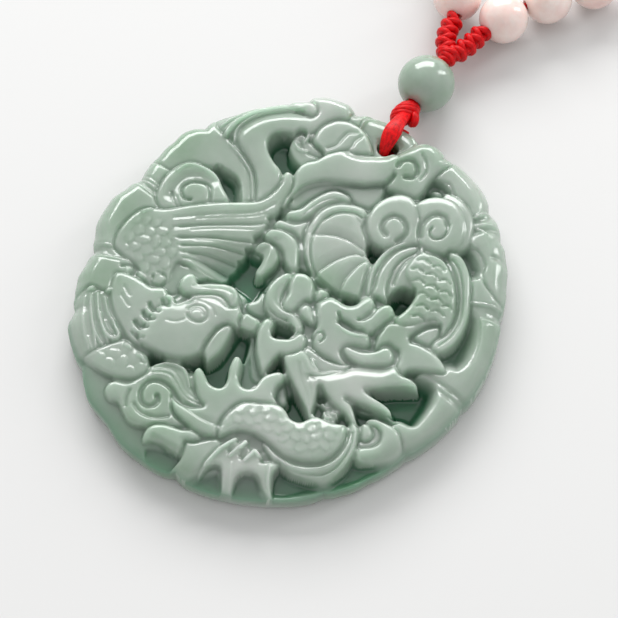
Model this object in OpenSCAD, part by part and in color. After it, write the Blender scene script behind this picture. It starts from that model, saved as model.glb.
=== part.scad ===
// Carved jade medallion on a red satin cord, with a jade bead and a necklace of pale pink beads.
// The back of the medallion and the beads lie on the plane z = 0. The hanging direction is +Y.

/* [Medallion] */
// Nominal diameter of the carved disc
disc_d = 60; // [50:1:70]
// Thickness from the flat back to the highest relief
disc_t = 7.5; // [6.5:0.1:9]
// Radius lost by the worn edge round the flat back
back_bevel = 1.1; // [0.6:0.1:1.6]
// Distance from the disc's middle to the rim where the cord lies, in percent of the radius
rim_share_percent = 101; // [100:0.5:104]
// Diameter of the drilled cord hole
hole_d = 3.2; // [2.8:0.1:3.6]
// Distance from the cord's place on the rim to the middle of the cord hole
hole_inset = 4.1; // [3.8:0.1:6]
// Sideways place of the cord hole
hole_x = 0.8; // [-1:0.1:1.5]

/* [Satin cord] */
// Width of the flattened double cord through the hole
strand_w = 2.3; // [1.8:0.1:2.4]
// Thickness of the flattened double cord
strand_t = 1.2; // [0.9:0.1:1.3]
// Width of the knot under the jade bead
bail_knot_w = 4.4; // [3.8:0.1:5]
// Height of the knot under the jade bead
bail_knot_h = 3; // [2.4:0.1:3.4]
// Thickness of the snake knot braid
braid_d = 2.8; // [2.2:0.1:3]
// Pitch of the snake knots
braid_pitch = 1.15; // [1:0.05:1.4]
// Width of the small knot over the jade bead
fork_knot_w = 3.6; // [3.2:0.1:4]
// Height of the small knot over the jade bead
fork_knot_h = 3.2; // [2.6:0.1:3.6]
// Length of each braid of the fork
braid_l = 5.1; // [4.5:0.1:7]
// Diameter of the thread inside the beads
thread_d = 1; // [0.7:0.1:1.1]

/* [Beads] */
// Diameter of the jade bead
jade_bead_d = 8.2; // [7:0.1:8.6]
// Diameter of the bore of the jade bead
jade_bore_d = 2.2; // [1.8:0.1:2.6]
// Diameter of a pink bead
pink_bead_d = 7.2; // [6.4:0.1:7.6]
// Diameter of the bore of a pink bead
pink_bore_d = 1.6; // [1.5:0.1:1.8]
// Pink beads in a group
group_beads = 3; // [2:1:4]
// Groups on each side of the necklace
side_groups = 11; // [8:1:12]
// Length of the knotted stretch between two groups
stretch_l = 6.9; // [5:0.1:9]
// Angle of each braid from the hanging direction, where the necklace forks
fork_angle = 25.5; // [25:0.5:30]
// Angle of each string of beads from the hanging direction
string_angle = 40; // [34:1:44]
// Sideways place of the jade bead
bead_x = 0.1; // [-1:0.1:1]
// Sideways place of the fork
fork_x = 0.6; // [-1:0.1:1]

/* [Hidden] */
$fn = 48;

// Clear gap between two neighbours on the string
gap = 0.2;
disc_r = disc_d / 2;

// Outline of the disc: direction in degrees, radius in percent of the disc's radius
OUTLINE = [
    [0, 98.7], [15, 99.5], [30, 100.5], [45, 103], [60, 104.5], [75, 103.5], [90, 102], [105, 107],
    [120, 103], [135, 99.5], [150, 98], [165, 97], [180, 96.5], [195, 97], [210, 100], [225, 100.5],
    [240, 103.5], [255, 104.5], [270, 103.5], [285, 102], [300, 100.5], [315, 99.5], [330, 99],
    [345, 99]];
outline_step = 360 / len(OUTLINE);

// Notches between the rim's lobes: direction in degrees, depth in percent of the disc's radius
NOTCHES = [
    [-51, 2], [-27, 1.5], [-6, 1.5], [22, 2], [45, 1.5], [54, 2], [73, 2], [82, 2], [101, 2.5],
    [116, 2], [142, 2.5], [170, 2.5], [196, 2.5], [215, 2], [229, 2], [242, 1.5], [270, 2]];
// Half width of a notch in degrees
notch_half = 3.5;

// Carved forms, raised. Columns: name, crest in percent of the thickness, and a spine whose points
// give x, y and half width in percent of the disc's radius. A spine of one point is a round dome.
PHOENIX = [
    ["cheek", 93, [[-25, -38, 13], [-31, -46, 15]]],
    ["forehead", 95, [[-34, -33, 6], [-24, -30, 9]]],
    ["beak", 88, [[-12, -38, 4], [-12, -48, 4.5]]],
    ["eye", 101, [[-28.5, -33.5, 3.6]]],
    ["comb ball", 100, [[-40, -22.5, 5]]],
    ["comb", 97, [[-38, -22, 4], [-28, -18.5, 4.5], [-20, -18.5, 4]]],
    ["neck", 86, [[-46, -42, 10], [-58, -41, 13], [-64, -34, 9]]],
    ["shoulder", 88, [[-60, -20, 10], [-67, -12, 14], [-68, -5, 9]]],
    ["shoulder tip", 86, [[-76, -22, 7], [-74, -10, 8]]],
    ["plume 1", 93, [[-72, 1, 4], [-52, 14, 4.5], [-38, 23, 4.5], [-29, 34, 4.5], [-28, 47, 3]]],
    ["plume 2", 89, [[-64, 1, 4], [-45, 11, 4], [-33, 18, 4], [-26, 30, 3.5]]],
    ["plume 3", 86, [[-58, -2, 3], [-40, 7.5, 3.5], [-27, 16, 4]]],
    ["plume 4", 82, [[-55, -5, 3], [-40, 2.5, 3], [-26, 9, 3.4]]],
    ["plume 5", 77, [[-52, -7, 2.5], [-40, -2.5, 2.8], [-27, 1, 3]]],
    ["plume 6", 73, [[-50, -10, 2.5], [-40, -7, 2.5], [-27, -5.5, 2.8]]],
    ["plume 7", 69, [[-48, -13, 2.5], [-38, -12, 2.5], [-29, -11.5, 2.8]]],
    ["hook", 88, [[-70, -32, 4], [-66, -29, 3], [-60, -29, 2.5]]],
    ["low wing 1", 84, [[-75, -47, 4], [-71, -58, 4], [-62, -70, 4]]],
    ["low wing 2", 86, [[-69, -46, 4], [-64, -57, 4], [-56, -64, 3.5]]],
    ["low wing 3", 80, [[-63, -50, 3], [-57, -56, 3.5], [-53, -60, 2.5]]],
    ["low wing scales", 85, [[-55, -70, 8], [-44, -70, 8], [-39, -69, 6]]]];
RIBBONS = [
    ["broad ribbon", 90, [[18, 88, 6], [9, 77, 6], [0, 70, 6.5], [-10, 64, 6.5], [-18, 55, 5],
        [-23, 45, 4], [-24, 34, 3]]],
    ["ribbon top", 86, [[22, 90, 8], [22, 78, 9]]],
    ["second ribbon", 80, [[8, 60, 4], [-4, 56.5, 2.5], [-14, 50, 2.5], [-19, 40, 2.5]]],
    ["third ribbon", 84, [[1, 51, 2], [-7, 49, 3.5], [-12, 41, 3.5], [-18, 32, 3]]],
    ["fourth ribbon", 77, [[-10, 27, 3], [-19, 24.5, 3]]],
    ["fifth ribbon", 79, [[-20, 17.5, 3], [-12, 17, 3.5], [-4, 9, 3]]],
    ["cane", 84, [[-20, 8.5, 3], [-15.5, 7, 3.2], [-14, -2, 3.2]]],
    ["left band", 87, [[-36, 80, 6], [-46, 70, 7], [-51, 61, 7], [-48, 53, 6], [-40, 48, 6],
        [-34, 41, 5], [-33, 34, 3]]],
    ["outer band", 78, [[-68, 50, 5], [-58, 45, 4.5], [-47, 40, 4.5], [-40, 30, 4]]],
    ["wave 1", 84, [[-41, 85, 2.5], [-52, 77, 3], [-60, 67, 3], [-62, 56, 2.5]]],
    ["wave 2", 76, [[-45, 88, 2], [-57, 77, 2.5], [-65, 64, 2.5], [-66, 54, 2.5]]],
    ["wave crest", 90, [[-38, 87, 7], [-32, 91, 9], [-25, 93, 8]]],
    ["small curl", 90, [[-20, 77, 7.5]]],
    ["small curl band", 82, [[-25, 84, 2.5], [-16, 86, 3], [-10, 81, 3.5], [-12, 74, 2.5]]],
    ["small curl foot", 84, [[-31, 65, 5], [-24, 64, 5]]]];
CLOUDS = [
    ["left ruyi ring", 92, [[20, 42, 4], [17, 50, 4.5], [20, 59, 4.5], [28, 61.5, 4.5],
        [35, 56, 3.5], [36, 49, 2.5]]],
    ["left ruyi eye", 96, [[27.5, 49, 4.6], [28.5, 43, 3]]],
    ["right ruyi ring", 94, [[33, 64, 4], [40, 70, 4.5], [50, 70, 5], [55, 62, 5], [54, 53, 4.5],
        [46, 50, 3.5], [40, 54, 2.5]]],
    ["right ruyi eye", 96, [[43.5, 57.5, 4.6]]],
    ["left scroll", 84, [[-73, 16, 5], [-73, 25, 5.5], [-64, 29, 5], [-55, 25, 4.5],
        [-52, 20, 3]]],
    ["left scroll eye", 88, [[-63.5, 19.5, 5]]],
    ["low scroll ring", 86, [[-18, -68, 3], [-26, -66, 3], [-33, -71, 3], [-35, -79, 3.5],
        [-31, -86, 4.5], [-22, -88, 5], [-14, -85, 4]]],
    ["low scroll eye", 91, [[-26, -77, 5], [-20, -76, 5]]],
    ["low scroll flow 1", 84, [[-30, -64, 2], [-22, -61, 2], [-14, -65, 2.5], [-6, -70, 2]]],
    ["low scroll ball", 78, [[-42, -82, 3.5], [-38, -86, 4]]],
    ["right scroll", 84, [[68, -41, 3.5], [76, -42, 4.5], [78, -48, 5], [73, -53, 4.5],
        [69, -56, 3]]],
    ["right scroll eye", 80, [[66.5, -46.5, 3.6]]]];
DRAGON = [
    ["nose", 101, [[2, 0, 8], [3, -5, 8.5]]],
    ["lip", 92, [[-5, 1, 2.2], [-5, -8, 2.5], [1, -14, 3], [10, -16, 3], [16, -19, 3]]],
    ["nose ball", 94, [[14.5, -7.5, 4.6], [17, -9, 4]]],
    ["nose knob", 90, [[15, 3, 3]]],
    ["mouth corner", 88, [[16, -20, 3.5], [14, -27, 4], [4, -27, 4.5], [2, -22, 4]]],
    ["chin", 84, [[8, -30, 7], [9, -38, 5], [11, -45, 2]]],
    ["cheek", 92, [[22, -6, 8], [30, -13, 9], [38, -17, 6]]],
    ["brow", 96, [[17, -1, 3], [26, 1, 3.5], [33, 4, 3.8], [35.5, 10, 3.8]]],
    ["finger", 97, [[38, -1, 4], [43, 4, 4.2], [45, 11, 4.2]]],
    ["small horn", 90, [[38, -9, 3], [44, -8, 3]]],
    ["horn", 97, [[40, -15.5, 3.5], [48, -14, 4.5], [55, -10, 4.5]]],
    ["temple", 90, [[50, 0, 5], [56, 2, 6], [60, -4, 5]]],
    ["mane 1", 93, [[57, -4, 6], [67, -3, 6], [77, -1.5, 3]]],
    ["mane 2", 93, [[38, -27, 4], [50, -23, 6], [62, -18, 6], [73, -16, 2.5]]],
    ["mane 3", 88, [[44, -30, 5], [58, -32, 4], [70, -31.5, 1.8]]],
    ["mane 4", 84, [[36, -34, 5], [48, -38.5, 3.5], [59, -43.5, 1.6]]],
    ["mane 5", 85, [[22, -30, 6], [29, -37, 6], [37, -46, 3.5]]],
    ["upper body", 95, [[46, 38, 7], [56, 35, 10], [62, 25, 11], [61, 16, 9], [66, 8, 4]]],
    ["upper body left", 90, [[46, 42, 4], [44, 33, 4.5], [47, 27, 3]]],
    ["upper belly", 85, [[57, 49.5, 2.6], [66, 46, 3], [72, 37, 3], [76, 26, 3], [77, 15, 3],
        [74, 6, 2.4]]],
    ["fan ring", 90, [[8, 49, 3], [0, 46, 3], [-5, 38, 3], [-5.5, 29, 3], [0, 18, 3], [7, 11, 3]]],
    ["fan plate 1", 84, [[4, 42, 5], [12, 40, 6]]],
    ["fan plate 2", 87, [[3, 27, 6], [7, 26, 7], [10, 30, 4]]],
    ["fan plate 3", 84, [[15, 22, 5], [16, 15, 6]]],
    ["fan plate 4", 82, [[24, 25, 4], [25, 15, 5]]],
    ["body band 1", 86, [[40, 43, 2.5], [31, 37, 3], [28, 29, 3], [30, 19, 3]]],
    ["body band 2", 88, [[43, 43, 2.5], [36, 35, 4], [35, 27, 4.2], [36, 17, 5]]],
    ["lower body", 95, [[13, -76, 5], [15, -68, 7], [25, -64, 9], [38, -65, 9.5], [48, -61, 10],
        [50, -56, 7]]],
    ["lower belly", 84, [[61, -48, 2.5], [62.5, -58, 2.8], [60, -68, 2.8], [52, -75, 2.8],
        [42, -77, 2.5], [28, -75, 2]]]];
FLAMES = [
    ["flame 1", 88, [[-1, -45, 2.6], [0, -54, 4], [5, -61, 6]]],
    ["flame 2", 90, [[18, -43, 3.5], [16, -51, 6], [8, -60, 6]]],
    ["flame 3", 86, [[-12.5, -58.5, 2.5], [-5, -62, 3.5], [4, -66, 6]]],
    ["flame root", 84, [[3, -66, 6], [2, -76, 5]]],
    ["flame 4", 84, [[-14, -76, 2.5], [-5, -78, 3.5], [5, -79, 4]]],
    ["flame 5", 84, [[-14, -93, 4.5], [-5, -91, 5], [3, -88, 5]]],
    ["low lobe", 80, [[5, -89, 6], [6, -94, 6]]],
    ["claw root", 84, [[16, -90, 6], [27, -89, 7], [32, -86, 6]]],
    ["claw 1", 90, [[13, -89, 2.5], [15, -83, 2], [17.5, -78.5, 1.6]]],
    ["claw 2", 90, [[19.5, -87, 2.5], [21, -81, 2], [23, -76.5, 1.6]]],
    ["claw 3", 90, [[25, -86, 2.5], [27.5, -81, 2.2], [31, -79, 1.6]]],
    ["claw 4", 80, [[24, -90, 4], [26, -96, 3]]],
    ["claw 5", 78, [[31, -86, 4], [37, -90, 3], [43, -93.5, 1.6]]]];
FORMS = concat(PHOENIX, RIBBONS, CLOUDS, DRAGON, FLAMES);

// Deep recesses between the forms, in the same columns, with the floor's height in the second one
RECESSES = [
    ["left of the curl foot", 27, [[-40, 61, 7], [-33, 55, 5]]],
    ["over the wing", 30, [[-58, 36, 3], [-48, 32, 5]]],
    ["under the cane", 25, [[-21, -4, 6], [-13, -10, 5]]],
    ["under the nose", 27, [[-5, -33, 5], [-5, -44, 4], [-7, -52, 5]]],
    ["under the phoenix", 32, [[-45, -60, 3], [-32, -62, 4], [-20, -58, 4]]],
    ["under the fan", 32, [[8, 5, 3], [24, 6, 3]]],
    ["under the chin", 30, [[14, -36, 4]]],
    ["mouth", 40, [[8, -22, 3.5]]],
    ["under the mane", 26, [[26, -47, 5], [34, -51, 4]]],
    ["drill by the body", 18, [[45, 22, 5]]],
    ["drill by the fan", 32, [[23, 35, 3]]],
    ["right rim, upper", 36, [[66, 53, 5], [70, 48, 3]]],
    ["right rim, middle", 34, [[82, 18, 3], [82, 8, 3]]],
    ["right rim, lower", 22, [[72, -25, 4], [78, -22, 5]]],
    ["low right", 34, [[70, -64, 4], [62, -77, 3], [46, -84, 4]]],
    ["low left", 40, [[-44, -60, 2]]]];

// How far a form's foot reaches, in half widths
spread = 1.25;
// Levels of the disc in percent of the thickness: the carved floor, the rim and the wall's top
floor_level = 54;
rim_level = 73;
wall_level = 60;
// The rim's crest and half width, in percent of the outline's radius
rim_at = 91;
rim_half = 13;
// Level at which the cord lies on the carved face
bail_level = 77;
// Radius of a knot's waist as a share of its bulge, share of the pitch that each of its shoulders
// takes, and rings of the thread on each side
waist = 0.84;
shoulder = 0.3;
thread_rings = 38;
// Share of the outline's radius at which the carved face meets the wall
face_share = 0.975;
// Cells across the carved face, and the wall's rings as shares of radius and of thickness
face_cells = 68;
WALL = [[1, 0.42], [1, 0.18], [1 - back_bevel / disc_r, 0]];

// Places along the cord, from the rim to the fork
jade_bead_z = jade_bead_d / 2;
string_z = pink_bead_d / 2;
rim_y = disc_r * rim_share_percent / 100;
hole_y = rim_y - hole_inset;
bail_knot_y = rim_y + strand_t;
jade_bead_y = bail_knot_y + bail_knot_h + gap + jade_bead_d / 2;
fork_knot_y = jade_bead_y + jade_bead_d / 2 + gap;
fork_y = fork_knot_y + fork_knot_h;
bead_cord_d = jade_bore_d - 2 * gap;

// The string of beads, measured from the fork along one side
first_bead = braid_l + gap + pink_bead_d / 2;
bead_pitch = pink_bead_d + gap;
kink = first_bead + bead_pitch / 2;
group_l = group_beads * bead_pitch - gap;
period = group_l + stretch_l + 2 * gap;
side_length = first_bead - pink_bead_d / 2 + side_groups * period - gap - stretch_l / 2;
kink_x = kink * sin(fork_angle);
kink_y = fork_y + kink * cos(fork_angle);
// After the kink a straight stretch runs into a round one, whose middle is on the line x = fork_x
round_r = (side_length - kink + kink_x / sin(string_angle))
    / (1 / tan(string_angle) + (90 + string_angle) * PI / 180);
straight_l = round_r / tan(string_angle) - kink_x / sin(string_angle);
round_y = kink_y + straight_l * cos(string_angle) + round_r * sin(string_angle);

function along(p, a, l) = [p[0] + l * sin(a), p[1] + l * cos(a), p[2]];
// Direction from +Y towards +X, and place from x = fork_x, at a length s from the fork on the right
function string_dir(s) = s < kink ? fork_angle : s < kink + straight_l ? string_angle
    : string_angle - (s - kink - straight_l) / round_r * 180 / PI;
function string_at(s) = s < kink ? along([0, fork_y, string_z], fork_angle, s)
    : s < kink + straight_l ? along([kink_x, kink_y, string_z], string_angle, s - kink)
    : [round_r * cos(string_dir(s)), round_y - round_r * sin(string_dir(s)), string_z];

function clamp(v) = min(1, max(0, v));
function spine_box(spine) = [
    min([for (q = spine) q[0] - spread * q[2]]), max([for (q = spine) q[0] + spread * q[2]]),
    min([for (q = spine) q[1] - spread * q[2]]), max([for (q = spine) q[1] + spread * q[2]])];
function inside(p, b) = p[0] > b[0] && p[0] < b[1] && p[1] > b[2] && p[1] < b[3];
// Share of the half width at which p lies from the stretch a-b of a spine
function off_spine(p, a, b) = let (
    run = [b[0] - a[0], b[1] - a[1]],
    away = [p[0] - a[0], p[1] - a[1]],
    t = run * run == 0 ? 0 : clamp((away * run) / (run * run)))
    norm(away - t * run) / (a[2] + t * (b[2] - a[2]));
function off_form(p, spine) = len(spine) == 1 ? off_spine(p, spine[0], spine[0])
    : min([for (i = [0 : len(spine) - 2]) off_spine(p, spine[i], spine[i + 1])]);
// Rounded cross-section of a form: 1 on its spine, 0 a little outside its half width
function pillow(u) = u >= spread ? 0 : 1 - pow(u / spread, 2);

function notch(a) = max([for (n = NOTCHES)
    let (d = abs((a - n[0] + 540) % 360 - 180) / notch_half) d < 1 ? n[1] * (1 - d) : 0]);
function outline_at(a) = let (
    i = floor(a / outline_step), t = (1 - cos((a / outline_step - i) * 180)) / 2,
    n = len(OUTLINE))
    OUTLINE[i % n][1] * (1 - t) + OUTLINE[(i + 1) % n][1] * t;
function edge_r(a) = disc_r * (outline_at(a) - notch(a)) / 100;

module jade_medallion() {
    color("darkseagreen")
    difference() {
        carved_disc();
        translate([hole_x, hole_y, -1]) cylinder(d = hole_d, h = disc_t + 2);
        // channel in the back, where the cord runs from the hole to the rim
        translate([hole_x, hole_y, 0]) rotate([-90, 0, 0]) cylinder(d = hole_d, h = disc_r);
    }
}

module carved_disc() {
    boxes = [for (f = FORMS) spine_box(f[2])];
    pits = [for (f = RECESSES) spine_box(f[2])];
    n = face_cells;

    // square grid wrapped onto the disc, ring by ring
    function polar(i, j) = let (a = 2 * i / n - 1, b = 2 * j / n - 1)
        a == 0 && b == 0 ? [0, 0]
        : abs(a) > abs(b) ? [abs(a), (a < 0 ? 180 : 0) + 45 * b / a]
        : [abs(b), (b < 0 ? 270 : 90) - 45 * a / b];
    function height(p, share) = let (
        pit = max([0, for (k = [0 : len(RECESSES) - 1]) if (inside(p, pits[k]))
            (floor_level - RECESSES[k][1]) * pillow(off_form(p, RECESSES[k][2]))]),
        u = abs(share - rim_at) / rim_half,
        ground = floor_level - pit + (rim_level - floor_level) * pillow(u),
        top = max([ground, for (k = [0 : len(FORMS) - 1]) if (inside(p, boxes[k]))
            floor_level + (FORMS[k][1] - floor_level) * pillow(off_form(p, FORMS[k][2]))]),
        fall = share < 94 ? 0 : pow((share - 94) / 6, 2))
        disc_t * (top + (wall_level - top) * fall) / 100;
    function face_point(i, j) = let (
        q = polar(i, j), a = (q[1] + 360) % 360, r = q[0] * edge_r(a) * face_share)
        [r * cos(a), r * sin(a),
         height([r * cos(a), r * sin(a)] / disc_r * 100, q[0] * 100)];

    face = [for (j = [0 : n]) for (i = [0 : n]) face_point(i, j)];
    border = concat([for (i = [0 : n - 1]) i], [for (j = [0 : n - 1]) n + j * (n + 1)],
        [for (i = [0 : n - 1]) (n + 1) * (n + 1) - 1 - i], [for (j = [0 : n - 1]) (n - j) * (n + 1)]);
    m = len(border);
    wall = [for (w = WALL) for (k = border) let (p = face[k], s = w[0] / face_share)
        [p[0] * s, p[1] * s, disc_t * w[1]]];
    points = concat(face, wall, [[0, 0, 0]]);
    base = len(face);
    // two triangles of the cell at point k, split along its more level diagonal
    function cell(k) = let (b = k + 1, c = k + n + 2, d = k + n + 1)
        abs(face[k][2] - face[c][2]) < abs(face[b][2] - face[d][2])
            ? [[k, d, c], [k, c, b]] : [[k, d, b], [b, d, c]];
    // index of the k-th point of the border (ring 0) or of a ring of the wall
    function ring(r, k) = r == 0 ? border[k % m] : base + (r - 1) * m + k % m;
    faces = concat(
        [for (j = [0 : n - 1]) for (i = [0 : n - 1]) each cell(j * (n + 1) + i)],
        [for (r = [0 : len(WALL) - 1]) for (k = [0 : m - 1]) [ring(r, k), ring(r, k + 1), ring(r + 1, k + 1)]],
        [for (r = [0 : len(WALL) - 1]) for (k = [0 : m - 1]) [ring(r, k), ring(r + 1, k + 1), ring(r + 1, k)]],
        [for (k = [0 : m - 1]) [ring(len(WALL), k), ring(len(WALL), k + 1), len(points) - 1]]);
    polyhedron(points, faces);
}

// Route of the flat double cord in the plane x = hole_x, as y and z: from the knot over the rim,
// down the hole, and back under the rim in the channel
function bail_route() = let (
    t = strand_t,
    over = disc_t * bail_level / 100 + t / 2 + gap,
    inner = hole_y + hole_d / 2 - 1.4 * gap - t / 2,
    under = (t + gap) / 2)
    [[bail_knot_y - gap - 0.4 * t, over - 1.15 * t], [rim_y - 0.1 * t, over - 0.6 * t],
     [rim_y - 0.9 * t, over - 0.1 * t], [inner + t, over], [inner + 0.3 * t, over - 0.3 * t],
     [inner, over - 1.1 * t], [inner, over - 2 * t], [inner, under + 1.3 * t],
     [inner + 0.1 * t, under + 0.25 * t], [inner + t, under], [rim_y, under],
     [bail_knot_y + 0.75 * t, under + 0.15 * t]];

// Runs a flat oval section, half_side wide along side and half_up the other way, along a path
module sweep(path, side, half_side, half_up, sides) {
    n = len(path);
    function way(i) = let (v = path[min(n - 1, i + 1)] - path[max(0, i - 1)]) v / norm(v);
    points = [for (i = [0 : n - 1]) for (k = [0 : sides - 1])
        path[i] + half_side * cos(k * 360 / sides) * side
            + half_up * sin(k * 360 / sides) * cross(way(i), side)];
    walls = [for (i = [0 : n - 2]) for (k = [0 : sides - 1]) let (
        a = i * sides + k, b = i * sides + (k + 1) % sides)
        each [[a, b, b + sides], [a, b + sides, a + sides]]];
    polyhedron(points, concat(walls, [[for (k = [0 : sides - 1]) sides - 1 - k]],
        [[for (k = [0 : sides - 1]) (n - 1) * sides + k]]));
}

// A row of knots round the +Y axis from y = 0, each bulging between two narrower waists
module knots(d, length, rows, bore) {
    pitch = length / rows;
    outer = [for (i = [0 : rows - 1]) each [
        [waist * d / 2, i * pitch], [d / 2, (i + shoulder) * pitch],
        [d / 2, (i + 1 - shoulder) * pitch]]];
    rotate([-90, 0, 0]) rotate_extrude()
        polygon(concat(outer, [[waist * d / 2, length], [bore / 2, length], [bore / 2, 0]]));
}

module bail_cord() {
    color("crimson")
    translate([hole_x, 0, 0])
    sweep([for (q = bail_route()) [0, q[0], q[1]]], [1, 0, 0], strand_w / 2, strand_t / 2, 12);
}

module bail_knot() {
    color("crimson")
    translate([bead_x, bail_knot_y, jade_bead_z]) knots(bail_knot_w, bail_knot_h, 2, 0);
}

module jade_bead() {
    color("darkseagreen")
    translate([bead_x, jade_bead_y, jade_bead_z]) bead(jade_bead_d, jade_bore_d);
}

// A bead whose bore lies along Y
module bead(d, bore) {
    difference() {
        sphere(d = d);
        rotate([90, 0, 0]) cylinder(d = bore, h = d + 1, center = true);
    }
}

module bead_cord() {
    color("crimson")
    translate([bead_x, bail_knot_y + bail_knot_h + gap / 2, jade_bead_z]) rotate([-90, 0, 0])
        cylinder(d = bead_cord_d, h = jade_bead_d + gap);
}

module fork_braid() {
    color("crimson")
    union() {
        translate([fork_x, fork_knot_y, string_z]) knots(fork_knot_w, fork_knot_h, 2, 0);
        for (turn = [-fork_angle, fork_angle])
            translate([fork_x, fork_y, string_z]) rotate([0, 0, -turn])
                translate([0, -braid_pitch / 2, 0])
                    knots(braid_d, braid_l + braid_pitch / 2, round(braid_l / braid_pitch) + 1, 0);
    }
}

// Puts its children on the string at a length s from the fork; way is 1 on the right, -1 on the left
module on_string(s, way) {
    p = string_at(s);
    translate([fork_x + way * p[0], p[1], p[2]]) rotate([0, 0, -way * string_dir(s)]) children();
}

module pink_beads(way) {
    color("mistyrose")
    for (g = [0 : side_groups - 1]) for (i = [0 : group_beads - 1])
        on_string(first_bead + g * period + i * bead_pitch, way) bead(pink_bead_d, pink_bore_d);
}

module snake_knots(way, stretches) {
    color("crimson")
    for (g = [0 : stretches - 1])
        on_string(first_bead - pink_bead_d / 2 + group_l + gap + g * period + stretch_l / 2, way)
            translate([0, -stretch_l / 2, 0])
                knots(braid_d, stretch_l, round(stretch_l / braid_pitch), pink_bore_d);
}

module pink_beads_left() pink_beads(-1);
module pink_beads_right() pink_beads(1);
module snake_knots_left() snake_knots(-1, side_groups - 1);
module snake_knots_right() snake_knots(1, side_groups);

module thread() {
    step = (side_length - kink) / thread_rings;
    side = concat([string_at(braid_l + gap)],
        [for (i = [0 : thread_rings]) string_at(kink + i * step)]);
    last = len(side) - 1;
    color("crimson")
    translate([fork_x, 0, 0])
    sweep(concat([for (i = [0 : last]) [-side[i][0], side[i][1], side[i][2]]],
        [for (i = [last - 1 : -1 : 0]) side[i]]), [0, 0, 1], thread_d / 2, thread_d / 2, 8);
}

jade_medallion();
bail_cord();
bail_knot();
jade_bead();
bead_cord();
fork_braid();
pink_beads_left();
pink_beads_right();
snake_knots_left();
snake_knots_right();
thread();
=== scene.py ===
import logging
from dataclasses import dataclass, field
from enum import Enum
from math import asin, cos, pi, radians, sin, tan
from typing import Callable

import bpy
import numpy as np
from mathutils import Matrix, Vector


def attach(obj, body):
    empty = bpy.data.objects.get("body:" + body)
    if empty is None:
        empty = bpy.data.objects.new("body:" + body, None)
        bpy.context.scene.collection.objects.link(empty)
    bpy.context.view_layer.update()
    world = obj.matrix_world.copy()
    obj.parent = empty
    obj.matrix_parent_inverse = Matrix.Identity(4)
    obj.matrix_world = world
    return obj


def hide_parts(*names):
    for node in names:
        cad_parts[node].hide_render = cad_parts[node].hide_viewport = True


# Looks of a carved jade medallion that lies flat with its red satin cord, its jade bead and its
# necklace of pale pink beads. Lengths in the classes are millimetres, the scene is in metres.
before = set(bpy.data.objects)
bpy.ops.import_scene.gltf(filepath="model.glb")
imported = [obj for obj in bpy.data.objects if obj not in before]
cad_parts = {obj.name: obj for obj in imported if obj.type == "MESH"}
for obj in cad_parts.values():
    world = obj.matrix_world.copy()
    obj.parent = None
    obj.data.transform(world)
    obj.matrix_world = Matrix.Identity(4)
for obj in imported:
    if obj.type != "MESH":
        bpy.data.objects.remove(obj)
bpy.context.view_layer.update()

MM = 0.001
Colour = tuple[float, float, float]
Point = tuple[float, ...]
Array = np.ndarray
Piece = bpy.types.Object
Socket = bpy.types.NodeSocket
log = logging.getLogger("medallion")


def srgb(red: int, green: int, blue: int) -> Colour:
    """Turns a colour of 0 to 255 into the linear values that a shader takes.

    Args:
        red: Red of 0 to 255.
        green: Green.
        blue: Blue.

    Returns:
        The three linear values.
    """
    def linear(value: int) -> float:
        """One channel's linear value."""
        v = value / 255
        return v / 12.92 if v <= 0.04045 else ((v + 0.055) / 1.055) ** 2.4
    return linear(red), linear(green), linear(blue)


# The places of the forms are read at this level, in a view that moves a lower foot by this much
LEVEL = 6.0
SLANT = (-0.7, 1.2)


class Cut(Enum):
    """How a form meets the surface under it."""

    OVER = "over"
    ADD = "add"
    LINE = "line"
    STEP = "step"
    BOWL = "bowl"
    SCALES = "scales"


@dataclass(frozen=True)
class Form:
    """One carved form. Places and widths are percent of the disc's radius, heights are millimetres."""

    name: str
    cut: Cut
    foot: float
    crest: float
    shoulder: float
    points: tuple[Point, ...]
    tilt: Point = (0.0, 0.0)
    moat: float = 0.3


def dome(name: str, foot: float, crest: float, shoulder: float, points: list[Point],
         tilt: Point = (0.0, 0.0), moat: float = 0.3) -> Form:
    """A raised area inside a closed outline, with a shoulder of the given width."""
    return Form(name, Cut.OVER, foot, crest, shoulder, tuple(points), tilt, moat)


def bowl(name: str, edge: float, bottom: float, slope: float, points: list[Point]) -> Form:
    """A soft hollow inside a closed outline, that reaches its bottom at the slope's width."""
    return Form(name, Cut.BOWL, edge, bottom, slope, tuple(points))


def scales(name: str, depth: float, size: float, turn: float, points: list[Point]) -> Form:
    """Overlapping scales inside a closed outline, whose tips point along the turn in degrees."""
    return Form(name, Cut.SCALES, 0.0, depth, size, tuple(points), (radians(turn), 0.0))


def ridge(name: str, foot: float, crest: float, points: list[Point], moat: float = 0.0) -> Form:
    """A raised rounded line, whose points give x, y and half width."""
    return Form(name, Cut.ADD, foot, crest, 0.0, tuple(points), (0.0, 0.0), moat)


def groove(name: str, depth: float, width: float, points: list[Point]) -> Form:
    """A cut line of one half width."""
    return Form(name, Cut.LINE, 0.0, depth, width, tuple(points))


def step(name: str, depth: float, width: float, points: list[Point]) -> Form:
    """A cut that is steep on the line and fades out to its right, as one feather lies on the next."""
    return Form(name, Cut.STEP, 0.0, depth, width, tuple(points))


def feather(name: str, width: float, cut: tuple[float, float], starts: tuple[Point, Point],
            points: list[Point]) -> tuple[Form, Form]:
    """A feather's step and the cut along it, of a depth and half width, over the same further points."""
    return step(name, 0.22, width, [starts[0], *points]), groove(name, *cut, [starts[1], *points])


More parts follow.
